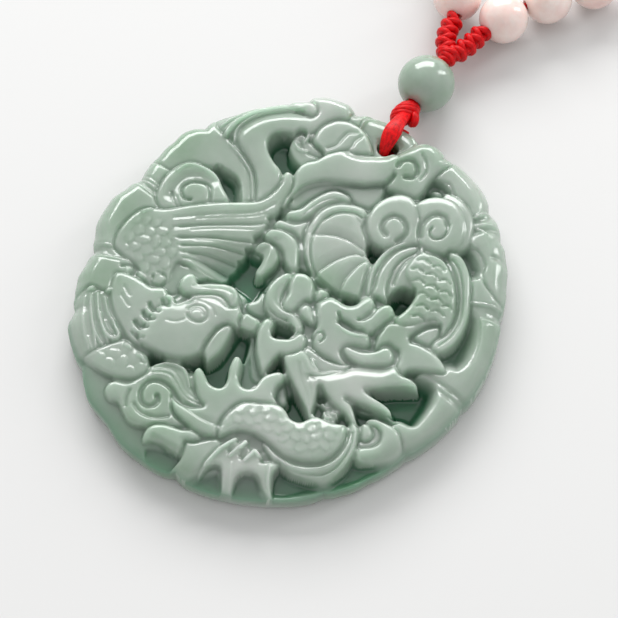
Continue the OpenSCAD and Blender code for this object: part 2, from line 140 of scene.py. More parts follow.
def smooth_line(points: Array, closed: bool, parts: int = 6) -> Array:
    """Runs a smooth curve through points.

    Args:
        points: One row for each point; any further columns are carried along.
        closed: Whether the last point joins the first.
        parts: Pieces between two points.

    Returns:
        The rows of the finer line.
    """
    if len(points) < 3:
        return points
    n = len(points)
    rows = []
    for i in range(n if closed else n - 1):
        if closed:
            a, b, c, d = (points[(i + k - 1) % n] for k in range(4))
        else:
            a, b, c, d = (points[min(max(i + k - 1, 0), n - 1)] for k in range(4))
        for t in np.arange(parts) / parts:
            rows.append(0.5 * (2 * b + (c - a) * t + (2 * a - 5 * b + 4 * c - d) * t ** 2
                               + (3 * b - 3 * c + d - a) * t ** 3))
    if not closed:
        rows.append(points[-1])
    return np.array(rows)


def blurred(field: Array, sigma: float) -> Array:
    """Smooths a grid with a bell-shaped kernel of sigma cells.

    Args:
        field: The grid.
        sigma: Half width of the bell in cells.

    Returns:
        The smooth grid.
    """
    if sigma < 0.3:
        return field
    reach = int(3 * sigma) + 1
    kernel = np.exp(-0.5 * (np.arange(-reach, reach + 1) / sigma) ** 2)
    kernel /= kernel.sum()
    for axis in (0, 1):
        wide = np.pad(field, [(reach, reach) if k == axis else (0, 0) for k in (0, 1)], mode="edge")
        n = field.shape[axis]
        field = sum(w * np.take(wide, np.arange(k, k + n), axis) for k, w in enumerate(kernel))
    return field


@dataclass
class Block:
    """The carved face as a height map in millimetres on a square grid in percent of the radius."""

    reach: float = 108.0
    pitch: float = 0.4
    floor: float = 4.1
    edge: float = 1.5
    z: Array = field(init=False)
    axis: Array = field(init=False)
    pits: Array = field(init=False)

    def __post_init__(self) -> None:
        """Starts from a level floor."""
        self.axis = np.arange(-self.reach, self.reach + self.pitch / 2, self.pitch)
        self.z = np.full((len(self.axis), len(self.axis)), self.floor)
        self.pits = np.zeros_like(self.z)

    def window(self, line: Array, margin: float) -> tuple[slice, slice, Array, Array]:
        """Finds the part of the grid round a line.

        Args:
            line: Points of the line.
            margin: Room round it in percent.

        Returns:
            The rows and the columns, and the places x and y there.
        """
        low = np.floor((line[:, :2].min(0) - margin + self.reach) / self.pitch).astype(int)
        high = np.ceil((line[:, :2].max(0) + margin + self.reach) / self.pitch).astype(int)
        low, high = np.clip(low, 0, len(self.axis) - 2), np.clip(high, 1, len(self.axis) - 1)
        cols, rows = slice(low[0], high[0] + 1), slice(low[1], high[1] + 1)
        x, y = np.meshgrid(self.axis[cols], self.axis[rows])
        return rows, cols, x, y

    @staticmethod
    def nearest(x: Array, y: Array, line: Array, closed: bool) -> tuple[Array, Array, Array]:
        """Distance to a line, side of it, and distance as a share of its half width.

        Args:
            x: Places along x.
            y: Places along y.
            line: Points of the line, with half widths in a third column or none.
            closed: Whether the line is an outline.

        Returns:
            The distance, the side (above zero on the right, and inside a closed outline), the share.
        """
        best = np.full(x.shape, 1e9)
        share = np.full(x.shape, 1e9)
        side = np.zeros(x.shape)
        ends = np.roll(line, -1, 0) if closed else line[1:]
        inside = np.zeros(x.shape, bool)
        for a, b in zip(line, ends):
            run = b[:2] - a[:2]
            length = max(run @ run, 1e-12)
            t = np.clip(((x - a[0]) * run[0] + (y - a[1]) * run[1]) / length, 0, 1)
            dx, dy = x - a[0] - t * run[0], y - a[1] - t * run[1]
            d = np.hypot(dx, dy)
            closer = d < best
            best = np.where(closer, d, best)
            if len(line[0]) > 2:
                share = np.minimum(share, d / np.maximum(a[2] + t * (b[2] - a[2]), 0.05))
            if closed:
                crosses = (a[1] > y) != (b[1] > y)
                inside ^= crosses & (x < a[0] + (y - a[1]) * run[0] / (run[1] or 1e-12))
            else:
                side = np.where(closer, np.sign(run[1] * dx - run[0] * dy), side)
        if closed:
            side = np.where(inside, 1.0, -1.0)
        return best, side, share

    def carve(self, form: Form) -> None:
        """Cuts one form, moved to where it is seen to lie in a slanting view of the level LEVEL.

        Args:
            form: The form.
        """
        points = np.array(form.points, float)
        if form.foot:
            points[:, :2] += (LEVEL - form.foot) * np.array(SLANT)
        if form.cut is Cut.OVER:
            self.raise_dome(form, smooth_line(points, True))
        elif form.cut is Cut.BOWL:
            self.sink_bowl(form, smooth_line(points, True))
        elif form.cut is Cut.SCALES:
            self.lay_scales(form, smooth_line(points, True))
        elif form.cut is Cut.ADD:
            self.raise_ridge(form, smooth_line(points, False))
        else:
            self.cut_line(form, smooth_line(points, False))

    def fill_cracks(self, reach: int, depth: float, spare_pits: bool) -> None:
        """Fills narrow cracks down to a depth.

        Args:
            reach: Half width in cells up to which a crack counts as narrow.
            depth: Depth in millimetres that a crack keeps.
            spare_pits: Whether the cut hollows stay as they are.
        """
        closed = self.z
        for spread in (np.maximum, np.minimum):
            for turn in range(reach):
                steps = [(0, 0), (0, 1), (0, -1), (1, 0), (-1, 0)]
                steps += [(1, 1), (-1, 1), (1, -1), (-1, -1)] if turn % 2 else []
                closed = spread.reduce([np.roll(closed, way, (0, 1)) for way in steps])
        filled = np.maximum(self.z, blurred(closed, 1.5) - depth)
        share = blurred(1.0 - self.pits, 1.5) if spare_pits else 1.0
        self.z = self.z + (filled - self.z) * share

    @staticmethod
    def bulge(u: Array) -> Array:
        """Quarter of a round section: 0 at and below 0, level at 1 and beyond."""
        return np.sqrt(1 - (1 - np.clip(u, 0, 1)) ** 2)

    def sink(self, rows: slice, cols: slice, outside: Array, depth: float) -> None:
        """Lowers the surface just outside a form, so that its outline reads."""
        near = np.clip(1 - np.abs(outside) / self.edge, 0, 1)
        self.z[rows, cols] -= depth * near ** 2

    def raise_dome(self, form: Form, line: Array) -> None:
        """Puts a domed area over what is there, or joins it to that where it has no moat.

        Args:
            form: The form.
            line: Its smooth line.
        """
        rows, cols, x, y = self.window(line, self.edge + 2)
        d, side, _ = self.nearest(x, y, line, True)
        d = d * side
        round_top = 0.7 * self.bulge(d / self.edge) + 0.3 * self.bulge(d / form.shoulder)
        top = form.foot + (form.crest - form.foot) * round_top
        top += np.minimum(d, 0) * 0.3
        middle = line[:, :2].mean(0)
        top += form.tilt[0] * (x - middle[0]) + form.tilt[1] * (y - middle[1])
        top = blurred(top, 0.5 / self.pitch)
        self.sink(rows, cols, np.maximum(-d, 0), form.moat)
        cover = np.clip(d / self.pitch + 0.5, 0, 1)
        if not form.moat:
            top = np.maximum(top, self.z[rows, cols])
        self.z[rows, cols] = self.z[rows, cols] * (1 - cover) + top * cover

    def raise_ridge(self, form: Form, line: Array) -> None:
        """Adds a rounded ridge where it stands above what is there.

        Args:
            form: The form.
            line: Its smooth line.
        """
        rows, cols, x, y = self.window(line, line[:, 2].max() + self.edge)
        d, _, share = self.nearest(x, y, line, False)
        if form.moat:
            outside = np.where(share < 1, 0, d * (1 - 1 / np.maximum(share, 1)))
            self.sink(rows, cols, outside, form.moat)
        top = form.foot + (form.crest - form.foot) * np.clip(1 - share ** 2, 0, 1) ** 0.8
        self.z[rows, cols] = np.where(share < 1, np.maximum(self.z[rows, cols], top), self.z[rows, cols])

    def cut_line(self, form: Form, line: Array) -> None:
        """Cuts a groove, or a step that fades out on the right.

        Args:
            form: The form.
            line: Its smooth line.
        """
        rows, cols, x, y = self.window(line, form.shoulder + 1)
        d, side, _ = self.nearest(x, y, line, False)
        u = np.clip(d / form.shoulder, 0, 1)
        if form.cut is Cut.LINE:
            depth = form.crest * (1 - u ** 2) ** 2
        else:
            depth = form.crest * (1 - u) ** 1.4 * np.clip(side * d / self.pitch + 0.5, 0, 1)
        self.z[rows, cols] -= depth

    def sink_bowl(self, form: Form, line: Array) -> None:
        """Lowers the inside of an outline to a soft hollow.

        Args:
            form: The form.
            line: Its smooth line.
        """
        rows, cols, x, y = self.window(line, 1)
        d, side, _ = self.nearest(x, y, line, True)
        u = np.clip(d * side / form.shoulder, 0, 1)
        low = form.foot + (form.crest - form.foot) * u * u * (3 - 2 * u)
        self.z[rows, cols] = np.where(side > 0, np.minimum(self.z[rows, cols], low), self.z[rows, cols])
        self.pits[rows, cols] = np.maximum(self.pits[rows, cols], side > 0)

    def lay_scales(self, form: Form, line: Array) -> None:
        """Cuts rows of overlapping scales, a little uneven as if made by hand.

        Args:
            form: The form.
            line: Its smooth line.
        """
        rows, cols, x, y = self.window(line, 1)
        d, side, _ = self.nearest(x, y, line, True)
        along, across = cos(form.tilt[0]), sin(form.tilt[0])
        u, v = (x * along + y * across) / form.shoulder, (y * along - x * across) / form.shoulder / 1.1
        u, v = u + 0.16 * np.sin(2.3 * v + 0.9 * u), v + 0.13 * np.sin(2.9 * u - 1.3 * v)
        height = np.full(x.shape, 0.5)
        free = np.ones(x.shape, bool)
        for back in (-1, 0, 1):
            row = np.floor(u) + back
            off = v - 0.5 * (row % 2)
            du, dv = u - row, off - np.round(off)
            hit = free & ((du / 0.8) ** 2 + (dv / 0.58) ** 2 < 1)
            height = np.where(hit, 0.5 + 0.6 * du - 1.0 * dv ** 2, height)
            free &= ~hit
        fade = np.clip(d * side / 2.5, 0, 1)
        self.z[rows, cols] += form.crest * (height - 0.6) * fade


# Quiet surfaces that lie under the figures
GROUND = (
    dome("upper left lobe", 4.8, 5.6, 9, [
        (-95, 28), (-95, 44), (-86, 58), (-76, 60), (-72, 56), (-67, 54), (-62, 52.5), (-58, 50),
        (-54, 47.5), (-48, 43.7), (-43, 39), (-38.5, 32), (-38, 27), (-44, 25), (-45, 30), (-47.5, 34.5),
        (-52, 37), (-60, 36.5), (-67, 33.5), (-73, 30), (-78, 24)]),
    ridge("outer band edge", 4.8, 5.9, [
        (-62, 50.5, 0.5), (-57, 48.6, 0.8), (-51, 45.6, 0.9), (-45.5, 42, 0.9), (-41, 36.5, 0.8),
        (-37.5, 30, 0.5)]),
    dome("cord place", 4.6, 5.2, 3, [
        (-13, 86), (-13.5, 93), (-10, 98), (-4, 100), (3, 101), (10, 99), (15, 95.5), (13, 89), (8, 83),
        (1, 77), (-6, 78)]),
    ridge("left frame line", 4.9, 5.7, [
        (-12, 86, 0.6), (-13, 90, 0.8), (-12.5, 94, 0.8), (-9.5, 97.5, 0.9), (-4.5, 99.5, 0.6)]),
    ridge("right frame line", 4.9, 5.7, [
        (3, 100.5, 0.6), (9, 98.8, 0.9), (13.7, 95.3, 0.9), (13.2, 91, 0.8), (9, 85.5, 0.6)]),
    ridge("collar line 1", 4.9, 5.9, [(-18.5, 87, 0.6), (-19, 92, 0.9), (-17.3, 97.5, 0.7)]),
    ridge("collar line 2", 4.9, 5.8, [(-14.7, 87.5, 0.6), (-15.3, 92.5, 0.9), (-13.5, 97.5, 0.7)]),
    dome("upper right plate", 5, 6.2, 10, [
        (29, 92), (34, 105), (50, 100), (66, 90), (80, 78), (92, 62), (98, 44), (90, 40), (81, 42.5),
        (76.5, 45), (73, 49), (71.5, 54), (66, 58), (61, 58), (59, 66), (52, 75), (44, 78), (38, 82),
        (30, 82)]),
    ridge("crease 1", 5.6, 6.7, [(56.3, 73.3, 0.9), (57.7, 75.5, 1.2), (58.3, 77.3, 0.8)]),
    ridge("crease 2", 5.6, 6.6, [(60, 68.7, 0.7), (62.5, 69, 1), (65.5, 68.5, 0.7)]),
    groove("crease 3", 0.5, 3.4, [(52, 71), (57, 73), (61, 77), (64, 82)]),
    groove("crease 4", 0.5, 3, [(58, 66), (62, 70), (67, 73)]),
    groove("crease 5", 0.3, 2.2, [(73, 60), (79, 61), (84, 58)]),
)

# Hollows that are cut deep between the figures
PITS = (
    bowl("hollow by the curl foot", 5, 2.5, 3, [
        (-37, 68), (-43, 68), (-46.5, 61), (-44, 55), (-37, 50), (-31, 50), (-26, 54), (-27, 58),
        (-33, 60.5)]),
    bowl("hollow over the wing", 5, 2.8, 4, [
        (-62, 38), (-55, 38.5), (-49, 37), (-44.5, 32), (-41, 25), (-47, 20), (-54, 26), (-60, 30)]),
    bowl("hollow under the cane", 4.8, 2.2, 5, [
        (-27, 9), (-22, 9), (-9, 9), (-8, -4), (-8.5, -15), (-12, -17.5), (-17, -15), (-23, -14),
        (-31, -13), (-29, -2)]),
    bowl("hollow by the wattle", 4.8, 2.3, 3, [
        (-10, -30), (-3, -29), (0, -34), (2, -42), (1, -50), (2, -57), (-2, -62), (-8, -62), (-13, -60),
        (-17, -58), (-22, -60), (-29, -63), (-22, -54), (-14, -49), (-11, -46)]),
    bowl("hollow under the jaw", 4.8, 3.7, 3, [
        (0, -34), (4, -38), (9, -45), (12, -44), (14, -46), (12, -53), (8, -56), (2, -52), (-1, -44)]),
    bowl("hollow under the breast", 4.8, 3, 1.8, [
        (-62, -52), (-52, -58), (-42, -60), (-30, -59), (-22, -55), (-17, -59), (-24, -61.5), (-30, -64.5),
        (-36, -66.5), (-40, -64.5), (-50, -63.5), (-58, -58)]),
    bowl("hollow under the fan", 4.6, 2.9, 1.8, [
        (-1, 10), (5, 10.5), (10, 9), (18, 9), (26, 10), (32, 12), (32, 4), (22, 3), (14, 3), (6, 5)]),
    bowl("hollow by the chin", 4.8, 2.8, 2.5, [
        (14, -31), (19, -35), (25, -40), (29, -45), (30, -52), (24, -54), (20, -46), (20, -40), (14, -43),
        (12, -47), (11, -40)]),
    bowl("hollow under the beard", 4.8, 2.2, 2.5, [
        (24, -42), (30, -44), (37, -48.5), (41, -51), (40, -56), (34, -59), (27, -58), (23, -53)]),
    bowl("rough hollow", 4.9, 3.9, 2, [
        (38, -40), (44, -41), (52, -42), (59, -44.5), (58, -49), (50, -53), (42, -55), (39, -50)]),
    bowl("drill by the body", 5.2, 1.4, 4.5, [
        (41.5, 14.5), (40.7, 20), (41.5, 25), (44.5, 29), (49, 29), (53, 26), (53, 17), (49, 12.5)]),
    bowl("hollow by the fan", 5, 2.8, 1.8, [
        (19, 33), (20, 38), (24, 39.5), (28, 36), (27.5, 31), (23, 29)]),
    bowl("crescent by the belly", 5.7, 3.7, 7, [
        (57, 60), (63, 60), (69, 56.5), (72.7, 52.5), (73.3, 48), (71, 45), (64, 42), (55, 46)]),
    bowl("lens by the belly", 5.6, 3.4, 9, [
        (80, 31), (85, 26), (88.5, 18), (90, 8), (87.5, 1), (84, -0.5), (76, -2), (66, 2), (66, 15),
        (70, 30)]),
    bowl("hollow by the manes", 5.4, 2, 8, [
        (64, -9), (72, -7.5), (78, -7), (83, -9.5), (85.5, -16), (85.5, -24), (84.5, -31), (81, -34),
        (76, -34.5), (72, -36), (56, -31), (52, -25), (58, -16)]),
    bowl("hollow between the manes", 4.8, 3, 2.5, [
        (46, -36), (58, -36), (70, -33), (76, -34), (72, -38), (66, -42), (62, -46), (56, -41), (50, -38)]),
    bowl("low right trough", 5.2, 3, 6, [
        (84, -51), (82, -58), (78, -65), (73, -71.5), (67, -77.5), (61, -82), (55, -87.5), (50, -91.5),
        (43, -94), (38, -92), (36, -78), (48, -70), (58, -62), (60, -54), (70, -54), (76, -51)]),
    bowl("trough by the claw", 5, 3.4, 3, [
        (16.5, -92), (20, -93.5), (25, -100), (25, -108), (10, -108), (9, -101)]),
    bowl("right claw trough", 5, 3.5, 3, [
        (27, -88), (34, -86), (42, -92), (48, -94), (44, -102), (34, -108), (27, -108), (25, -98)]),
    bowl("low flame trough", 5, 3.6, 2, [
        (-10, -95), (0, -94), (3, -104), (-5, -108), (-13, -106), (-17, -99)]),
    bowl("low left trough", 4.8, 3, 1.6, [(-15, -85), (-8, -82), (-2, -82), (-2.5, -85.5), (-8, -87.5)]),
    bowl("upper right pocket", 5.6, 3.3, 3, [(29, 81), (34, 83), (41, 80.5), (44, 76), (36, 72), (28, 68)]),
    bowl("channel by the wing", 4.8, 3.4, 1.4, [
        (-26, 33), (-22, 33), (-21.5, 24), (-22, 15), (-22.5, 8), (-28, 5), (-27, 14), (-26.5, 24)]),
)

# Ribbons of the upper left, from the rim to the cane beside the wing
RIBBONS = (
    dome("wave band", 5.1, 6.4, 6, [
        (-41, 80.7), (-48, 77), (-55, 71), (-59.5, 64), (-61, 57.5), (-59, 53), (-53, 49), (-48, 46),
        (-43.5, 42.5), (-39, 36.5), (-36, 30.5), (-33, 30), (-31, 36), (-30.3, 44), (-33, 50), (-38, 52.5),
        (-43, 55.7), (-46, 60), (-45.5, 65), (-41.5, 68), (-36, 70), (-32, 73), (-29, 77), (-27.5, 82),
        (-24, 86.5), (-19.5, 89), (-19.5, 96), (-21, 108), (-32, 108), (-42, 100), (-41, 89), (-37.5, 88),
        (-34.5, 84.5), (-36, 81.3)], (-0.008, 0.006), 0.25),
    step("band edge", 0.35, 3.8, [
        (-59.5, 52.5), (-61.3, 57.5), (-59.7, 64.3), (-55.2, 71.3), (-48, 77.3), (-41, 81)]),
    dome("crest ball", 5.2, 6.5, 4, [
        (-48, 80.7), (-42, 82.3), (-38.5, 81.7), (-35.3, 82.5), (-34, 85), (-35.5, 88), (-39, 89),
        (-43, 88), (-48, 84.5)], moat=0.2),
    ridge("wave line 1", 5.2, 6.2, [
        (-44, 80.5, 0.5), (-50, 77.3, 0.9), (-56, 72, 1), (-60.5, 66, 1), (-62.3, 61, 1),
        (-62.3, 56.5, 0.9), (-60.5, 52.7, 0.5)]),
    ridge("wave line 2", 5.2, 6.6, [
        (-40, 84, 0.7), (-45, 82, 1.3), (-50.5, 79, 1.5), (-56, 74.3, 1.6), (-61, 69, 1.6),
        (-64.3, 63, 1.7), (-65.7, 57.5, 1.8), (-66, 54, 1.3)]),
    ridge("wave line 3", 4.8, 5.7, [
        (-45, 84.3, 0.6), (-52, 81, 1), (-58.5, 76, 1.1), (-64, 70, 1.1), (-68, 63.5, 1.1),
        (-70.5, 57, 0.7)]),
    dome("small curl band", 4.8, 6.3, 4, [
        (-29.5, 74), (-28.7, 80), (-25, 85.5), (-20, 88.3), (-14, 88.7), (-9, 87.3), (-5, 84.5), (-0.5, 79),
        (-3, 76), (-8, 73.5), (-13, 72), (-19, 66.5), (-23, 62.5), (-27, 66)]),
    groove("small curl line 1", 0.3, 1.6, [
        (-13.5, 85.5), (-16.7, 83.5), (-17.8, 79), (-18.3, 75), (-21, 71.5)]),
    groove("small curl line 2", 0.28, 1.6, [(-10.5, 84.5), (-11.8, 81), (-11.7, 77.5), (-13.5, 74)]),
    dome("small curl foot", 4.6, 5.4, 3, [
        (-37.5, 69), (-37, 63), (-32, 58.5), (-26.5, 56.8), (-24, 60), (-21, 63), (-20, 67), (-24, 69),
        (-29, 70.5), (-33, 73), (-36, 72.5)]),
    groove("foot fold 1", 0.3, 1.3, [(-34.5, 69.5), (-30.5, 66.3), (-26, 66), (-21.5, 67)]),
    ridge("foot frill 1", 4.8, 6, [(-33, 75, 0.8), (-31.5, 71.5, 1.1), (-31.8, 68.5, 0.8)]),
    ridge("foot frill 2", 4.8, 5.9, [(-35.5, 66, 0.7), (-32.5, 64.3, 1), (-28.5, 64.7, 0.8)]),
    dome("crest of the broad ribbon", 5, 6.5, 6, [
        (6, 76), (9, 84), (13.5, 91), (17, 96.5), (22, 99.5), (29, 98), (34, 93), (32, 86), (30, 79),
        (29.5, 72), (27, 67.5), (20, 66.5), (14.5, 65.5), (12, 68), (11, 72)], (-0.004, 0.022)),
    dome("broad ribbon", 5.5, 6.8, 6, [
        (-27.3, 56), (-25, 60), (-22, 62.7), (-19.5, 67.3), (-15, 72), (-10.5, 74.2), (-7.5, 74.3),
        (-3.5, 75.7), (1, 78.3), (5, 80.7), (8, 84), (11.5, 84), (13, 79), (13.3, 73), (12, 68.5),
        (9, 64.7), (5, 62.2), (-1, 59.7), (-7, 57.3), (-12, 55), (-16, 52), (-20, 46.5), (-22, 40),
        (-23, 34), (-25, 36), (-25, 44), (-27.5, 50)], (-0.008, 0.014), 0),
    groove("ribbon fold", 0.45, 1.5, [(13.2, 74.5), (12.7, 70), (10, 65.7), (5, 62.7), (-2, 59.7)]),
    step("ribbon edge", 0.4, 3.6, [
        (-10.5, 73.7), (-7.5, 74), (-3.5, 75.3), (1, 77.9), (5, 80.3), (8, 84), (11.5, 89), (14.5, 93),
        (18, 97)]),
    groove("ribbon curl 1", 0.7, 1.8, [
        (12.3, 79.5), (13, 83), (16.3, 85.2), (20, 83.8), (21.8, 80.5), (20.8, 77.5), (18, 76.2)]),
    groove("ribbon curl 2", 0.35, 1.3, [(19, 90.5), (22.5, 88), (25.2, 83), (24.6, 78.5)]),
    dome("second ribbon", 4.6, 5.5, 4, [
        (13.8, 65.5), (10, 65), (5, 61.7), (-1, 59), (-7, 56.7), (-12, 54.2), (-16, 51), (-20, 46),
        (-22, 39), (-21, 35), (-17, 36), (-14.5, 41.5), (-12.5, 46), (-9.5, 51), (-5, 54.5), (0, 54.5),
        (3, 52.7), (8, 52), (13, 53.5), (14.5, 60)]),
    ridge("second ribbon edge", 4.6, 5.9, [
        (-2, 58.7, 0.5), (-6.5, 56.9, 0.9), (-11, 54.3, 1.1), (-15.5, 50.8, 1.1), (-19.3, 46, 1),
        (-21.3, 40, 0.7)]),
    dome("third ribbon", 4.9, 6.1, 3.5, [
        (0.5, 54), (-5, 54), (-9, 51.5), (-12, 47), (-14.2, 42), (-16, 37), (-20, 33), (-19.5, 29.8),
        (-16, 30), (-12, 32.5), (-9.7, 36), (-8, 41), (-5, 46), (-1, 49.7), (2.5, 52)]),
    groove("third ribbon line", 0.25, 0.9, [(-1, 52), (-6, 50), (-9.5, 46), (-11.7, 41), (-13.5, 36)]),
    dome("fourth ribbon", 4.9, 5.9, 3, [
        (-22, 23.3), (-21.7, 27.3), (-18, 28.3), (-15, 28.7), (-12, 30.7), (-9.5, 33.5), (-8.3, 28),
        (-7, 23.5), (-12, 24.5), (-17, 24)]),
    dome("arch", 4.8, 6.2, 2.6, [
        (-22.7, 16), (-22.5, 20), (-19, 22.5), (-14, 23.2), (-9, 22), (-5.3, 18.5), (-2.5, 13.5),
        (-0.3, 8.5), (-4, 6.7), (-8, 9), (-11, 12.7), (-14, 14.7), (-18, 15.5)]),
    dome("cane", 4.2, 5.6, 2.6, [
        (-23.5, 8), (-23.2, 12), (-20.7, 14.2), (-16, 14.2), (-12.3, 12), (-10, 8.5), (-10.3, 4), (-12, 0),
        (-13, -2.8), (-15.5, -3.9), (-17.5, -1.5), (-17.5, 3), (-18.2, 6.5), (-20.5, 7.5)]),
    dome("low slope", 3, 4.6, 6, [
        (-9.5, -9), (-6, -9), (-2, -13), (1, -18), (-1, -21), (-6, -22), (-11, -21), (-12.5, -17),
        (-10, -14)]),
)

# Cloud scrolls round the rim, and the two ruyi clouds
CLOUDS = (
    dome("left scroll", 4.9, 6, 5, [
        (-79, 22), (-76.5, 29), (-73, 33), (-67, 34.5), (-58, 33.3), (-52, 29), (-46, 24), (-50, 19),
        (-56, 15), (-62, 9), (-69, 4), (-76, 7), (-79, 14)], moat=0.2),
    ridge("left scroll line", 5.2, 6.35, [
        (-75.3, 25, 0.5), (-74, 29.5, 0.7), (-71, 32, 0.8), (-66, 33, 0.8), (-60, 32.7, 0.7),
        (-56, 31, 0.4)]),
    groove("left scroll spiral", 0.6, 1.4, [
        (-62.5, 16.8), (-65.5, 16), (-68.7, 18.3), (-69, 22), (-66.5, 25.3), (-62, 27.3), (-58.3, 26.7),
        (-56, 23.5), (-54, 19.5)]),
    groove("left scroll hollow", 0.3, 4, [(-72, 14), (-72.5, 20), (-70.5, 26), (-65, 29.5), (-59, 29.5)]),
    groove("left scroll fold 1", 0.35, 1, [(-72.5, 16), (-69.7, 12.8), (-66, 10.5)]),
    groove("left scroll fold 2", 0.3, 0.9, [(-69, 15), (-66.5, 12.7), (-63.5, 11.5)]),
    dome("left ruyi", 5.2, 6.5, 7, [
        (13, 52), (13.7, 57), (16.3, 62.3), (20.5, 66.3), (25.5, 67.7), (30, 66), (34, 62.5), (37, 57),
        (39, 52), (41, 47.5), (37, 45), (33, 43.5), (30, 39.5), (26.5, 37.5), (21.5, 38), (17, 41.5),
        (13.8, 46.5)]),
    groove("left ruyi spiral", 0.8, 1.9, [
        (25, 45), (21.8, 47), (21, 51), (23, 54.7), (27, 55.7), (31, 53.5), (32.7, 49.5), (31, 45)]),
    dome("right ruyi shell", 5.3, 6.4, 6, [
        (38, 76), (42, 78.5), (48, 78), (53.5, 75), (58, 70), (60.5, 64), (61.5, 58), (59, 53), (54, 50),
        (48, 50), (42, 60)], moat=0),
    dome("right ruyi", 5.4, 6.8, 6, [
        (29.5, 64.5), (31, 69), (35, 73), (40, 75), (45, 75.3), (50, 73), (54.5, 68.5), (57.5, 63),
        (58.7, 57.5), (57, 52), (53, 48.3), (47, 46.7), (42, 47.3), (39, 50), (36.7, 54), (35, 58.5),
        (32, 62)], moat=0),
    groove("right ruyi spiral", 0.55, 1, [
        (42, 58), (42.2, 55.3), (44.8, 53.5), (47.7, 54.8), (49, 58), (48.5, 61.7), (46, 64.7)]),
    groove("right ruyi bend", 0.6, 2.2, [
        (47.5, 62.7), (44.5, 65.7), (40.3, 65), (37.7, 61.3), (37.3, 56.3), (39.3, 52)]),
    dome("pocket bump 1", 4, 5, 2, [(32.5, 74.5), (33.5, 77), (37, 77.5), (39, 75.7), (36, 73.5)]),
    dome("low scroll", 4.8, 5.7, 5, [
        (-34, -65.5), (-28.5, -60.7), (-22, -58.7), (-16, -60.3), (-12, -65), (-6, -68), (-3, -70.5),
        (-6, -73), (-11, -75), (-15, -77.5), (-11, -81), (-5, -82), (-9, -86.5), (-16, -88.5),
        (-19.5, -91.3), (-24, -93.3), (-29, -93.3), (-33, -91), (-37.5, -88), (-42, -88.5), (-45.7, -86),
        (-46, -82), (-43.5, -79.3), (-39.5, -78.3), (-37, -76), (-36, -71)]),
    ridge("flow line 1", 5.2, 6.1, [
        (-32, -64.5, 0.5), (-29, -61.7, 0.7), (-25, -60, 0.8), (-20, -59.5, 0.9), (-17, -61.5, 0.6),
        (-13, -66, 0.4)]),
    ridge("flow line 2", 5.2, 6, [
        (-31.5, -67, 0.5), (-28.5, -65, 0.7), (-23.5, -64, 0.8), (-19, -66, 0.8), (-14.5, -69, 0.8),
        (-10, -70.3, 0.7), (-5, -69.5, 0.4)]),
    ridge("flow line 3", 5.2, 6, [
        (-31.7, -70.5, 0.5), (-29, -67.5, 0.7), (-24, -66.3, 0.8), (-19, -68.3, 0.8), (-14, -71, 0.8),
        (-9, -72, 0.7), (-4, -71, 0.4)]),
    ridge("flow line 4", 5.2, 5.8, [(-22, -62, 0.4), (-18, -63.7, 0.6), (-14, -67, 0.6), (-8, -68.7, 0.4)]),
    groove("low scroll spiral", 0.9, 1.5, [
        (-24.3, -75.5), (-22.8, -78.5), (-24.5, -81.5), (-28, -81.7), (-31, -78.7), (-32, -74.5),
        (-30.5, -70.7), (-26.5, -68.7), (-21, -69.3), (-17, -71.5), (-13.5, -73.5)]),
    groove("low scroll inner", 0.5, 1.6, [(-24.3, -75.5), (-22.6, -77.5), (-23, -80.3)]),
    groove("low scroll crease", 0.35, 1.6, [(-31, -84), (-26, -86), (-20, -85), (-15, -81.5)]),
    groove("low scroll side", 0.4, 1.5, [(-36.5, -79), (-35.7, -83), (-34, -86.5)]),
    dome("right scroll", 4.9, 6.1, 5, [
        (62.3, -40.5), (65.5, -38), (70, -37.3), (76, -37.3), (80, -39.7), (83.3, -44), (83, -48.5),
        (80.5, -52), (76.5, -55.5), (72, -58.5), (69, -59.7), (67, -58), (66.3, -54.5), (68, -52.7),
        (71, -50.7), (73, -47.5), (72.3, -43.7), (69.5, -41), (65.5, -40.7)], moat=0.4),
    dome("right scroll eye", 4.6, 5.7, 3, [
        (62, -42.7), (65, -41.8), (68, -43.3), (69.7, -46), (68.8, -48.7), (66, -50.5), (63.7, -47)]),
)

